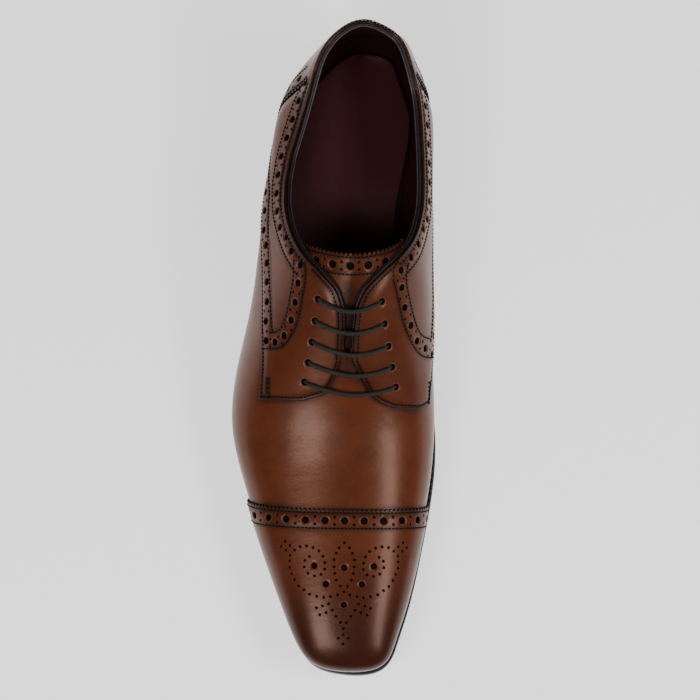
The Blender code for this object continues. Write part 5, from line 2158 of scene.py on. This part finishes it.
class BrogueSizes(bpy.types.PropertyGroup):
    """Sizes of the shoe's trimming."""

    outer_leather: length_property("Vamp leather", "Thickness of the vamp's outer leather", 0.0012)
    stitch_pitch: length_property("Stitch pitch", "From one stitch to the next", 0.0019)
    thread: length_property("Thread", "Thickness of the sewing thread", 0.00070)
    welt_pitch: length_property("Welt stitch pitch", "From one welt stitch to the next", 0.0032)
    big_hole: length_property("Big hole", "Width of the big punched holes", 0.0035)
    small_hole: length_property("Small hole", "Width of the small punched holes", 0.00125)
    eyelet: length_property("Eyelet", "Width of the lace holes", 0.0034)
    hole_spacing: length_property("Hole spacing", "From one big hole to the next", 0.0093)
    pair_offset: length_property("Pair offset", "From the strip's middle to a small hole", 0.0018)
    tooth_pitch: length_property("Tooth pitch", "From one tooth of a gimped edge to the next", 0.0022)
    tooth_depth: length_property("Tooth depth", "How deep a gimped edge is cut", 0.0013)
    light: bpy.props.FloatProperty(
        name="Light", description="Strength of the soft lights", default=1.0, min=0.0
    )


class BrogueColours(bpy.types.PropertyGroup):
    """Colours of the shoe's leathers and threads."""

    chestnut: color_property("Chestnut", "The calf's main colour", (0.132, 0.031, 0.011))
    deep: color_property("Deep dye", "The facings and the tongue", (0.092, 0.021, 0.009))
    burnished: color_property("Burnish", "The darkened toe and edges", (0.030, 0.006, 0.004))
    # Near black inside the holes and on cut edges: dark leather with painted shadow.
    shadow: color_property("Hole", "Inside the punched holes", (0.006, 0.004, 0.004))
    thread: color_property("Thread", "The waxed sewing thread", (0.006, 0.004, 0.004))
    lining: color_property("Lining", "The lining leather", (0.030, 0.005, 0.007))
    sock: color_property("Sock", "The sock leather over the insole", (0.060, 0.010, 0.012))
    binding: color_property("Binding", "The collar's binding", (0.010, 0.007, 0.006))
    # Grey as a painted highlight on the dark piping.
    piping: color_property("Piping", "The thin line inside the collar", (0.075, 0.062, 0.060))
    lace: color_property("Lace", "The waxed lace", (0.026, 0.022, 0.016))
    sole: color_property("Sole", "The sole's and heel's edges", (0.016, 0.010, 0.008))


class BROGUE_OT_vamp(bpy.types.Operator):
    """The vamp's outer leather and the lining behind it."""

    bl_idname = "brogue.vamp"
    bl_label = "Vamp and lining"

    def execute(self, context):
        make_vamp()
        make_lining()
        return {"FINISHED"}


class BROGUE_OT_toe_cap(bpy.types.Operator):
    """The punched toe cap with its gimped edge."""

    bl_idname = "brogue.toe_cap"
    bl_label = "Toe cap"

    def execute(self, context):
        make_toe_cap()
        return {"FINISHED"}


class BROGUE_OT_quarters(bpy.types.Operator):
    """Both quarters with their punched bands, facings and lace holes."""

    bl_idname = "brogue.quarters"
    bl_label = "Quarters"

    def execute(self, context):
        make_quarter(-1)
        make_quarter(1)
        return {"FINISHED"}


class BROGUE_OT_counter(bpy.types.Operator):
    """The counter round the heel."""

    bl_idname = "brogue.counter"
    bl_label = "Counter"

    def execute(self, context):
        make_counter()
        return {"FINISHED"}


class BROGUE_OT_tongue(bpy.types.Operator):
    """The punched tongue."""

    bl_idname = "brogue.tongue"
    bl_label = "Tongue"

    def execute(self, context):
        make_tongue()
        return {"FINISHED"}


class BROGUE_OT_collar(bpy.types.Operator):
    """The binding, piping and gimped edging of the top edge."""

    bl_idname = "brogue.collar"
    bl_label = "Collar"

    def execute(self, context):
        make_collar()
        return {"FINISHED"}


class BROGUE_OT_sock(bpy.types.Operator):
    """The plain sock over the insole."""

    bl_idname = "brogue.sock"
    bl_label = "Sock"

    def execute(self, context):
        make_sock()
        return {"FINISHED"}


class BROGUE_OT_sole(bpy.types.Operator):
    """The outsole, the stitched welt and the heel."""

    bl_idname = "brogue.sole"
    bl_label = "Sole and heel"

    def execute(self, context):
        make_outsole()
        make_welt()
        make_heel()
        return {"FINISHED"}


class BROGUE_OT_laces(bpy.types.Operator):
    """The five bars of waxed lace."""

    bl_idname = "brogue.laces"
    bl_label = "Laces"

    def execute(self, context):
        make_laces()
        return {"FINISHED"}


class BROGUE_OT_stage(bpy.types.Operator):
    """The floor, the soft lights and the camera."""

    bl_idname = "brogue.stage"
    bl_label = "Stage"

    def execute(self, context):
        make_stage()
        return {"FINISHED"}


class BROGUE_PT_panel(bpy.types.Panel):
    """Lists the shoe's pieces, sizes and colours."""

    bl_label = "Brogue shoe"
    bl_idname = "BROGUE_PT_panel"
    bl_space_type = "VIEW_3D"
    bl_region_type = "UI"
    bl_category = "Brogue"

    def draw(self, context):
        for made in OPERATORS:
            self.layout.operator(made.bl_idname)
        for group in (context.scene.brogue_sizes, context.scene.brogue_colours):
            rows = self.layout.column()
            for name in group.__annotations__:
                rows.prop(group, name)


OPERATORS = (
    BROGUE_OT_vamp,
    BROGUE_OT_toe_cap,
    BROGUE_OT_quarters,
    BROGUE_OT_counter,
    BROGUE_OT_tongue,
    BROGUE_OT_collar,
    BROGUE_OT_sock,
    BROGUE_OT_sole,
    BROGUE_OT_laces,
    BROGUE_OT_stage,
)
CLASSES = (BrogueSizes, BrogueColours, *OPERATORS, BROGUE_PT_panel)


def register():
    for made in CLASSES:
        bpy.utils.register_class(made)
    bpy.types.Scene.brogue_sizes = bpy.props.PointerProperty(type=BrogueSizes)
    bpy.types.Scene.brogue_colours = bpy.props.PointerProperty(type=BrogueColours)


def unregister():
    del bpy.types.Scene.brogue_sizes
    del bpy.types.Scene.brogue_colours
    for made in reversed(CLASSES):
        bpy.utils.unregister_class(made)


def main():
    register()
    for made in OPERATORS:
        getattr(bpy.ops.brogue, made.bl_idname.split(".")[1])()


if __name__ == "__main__":
    main()
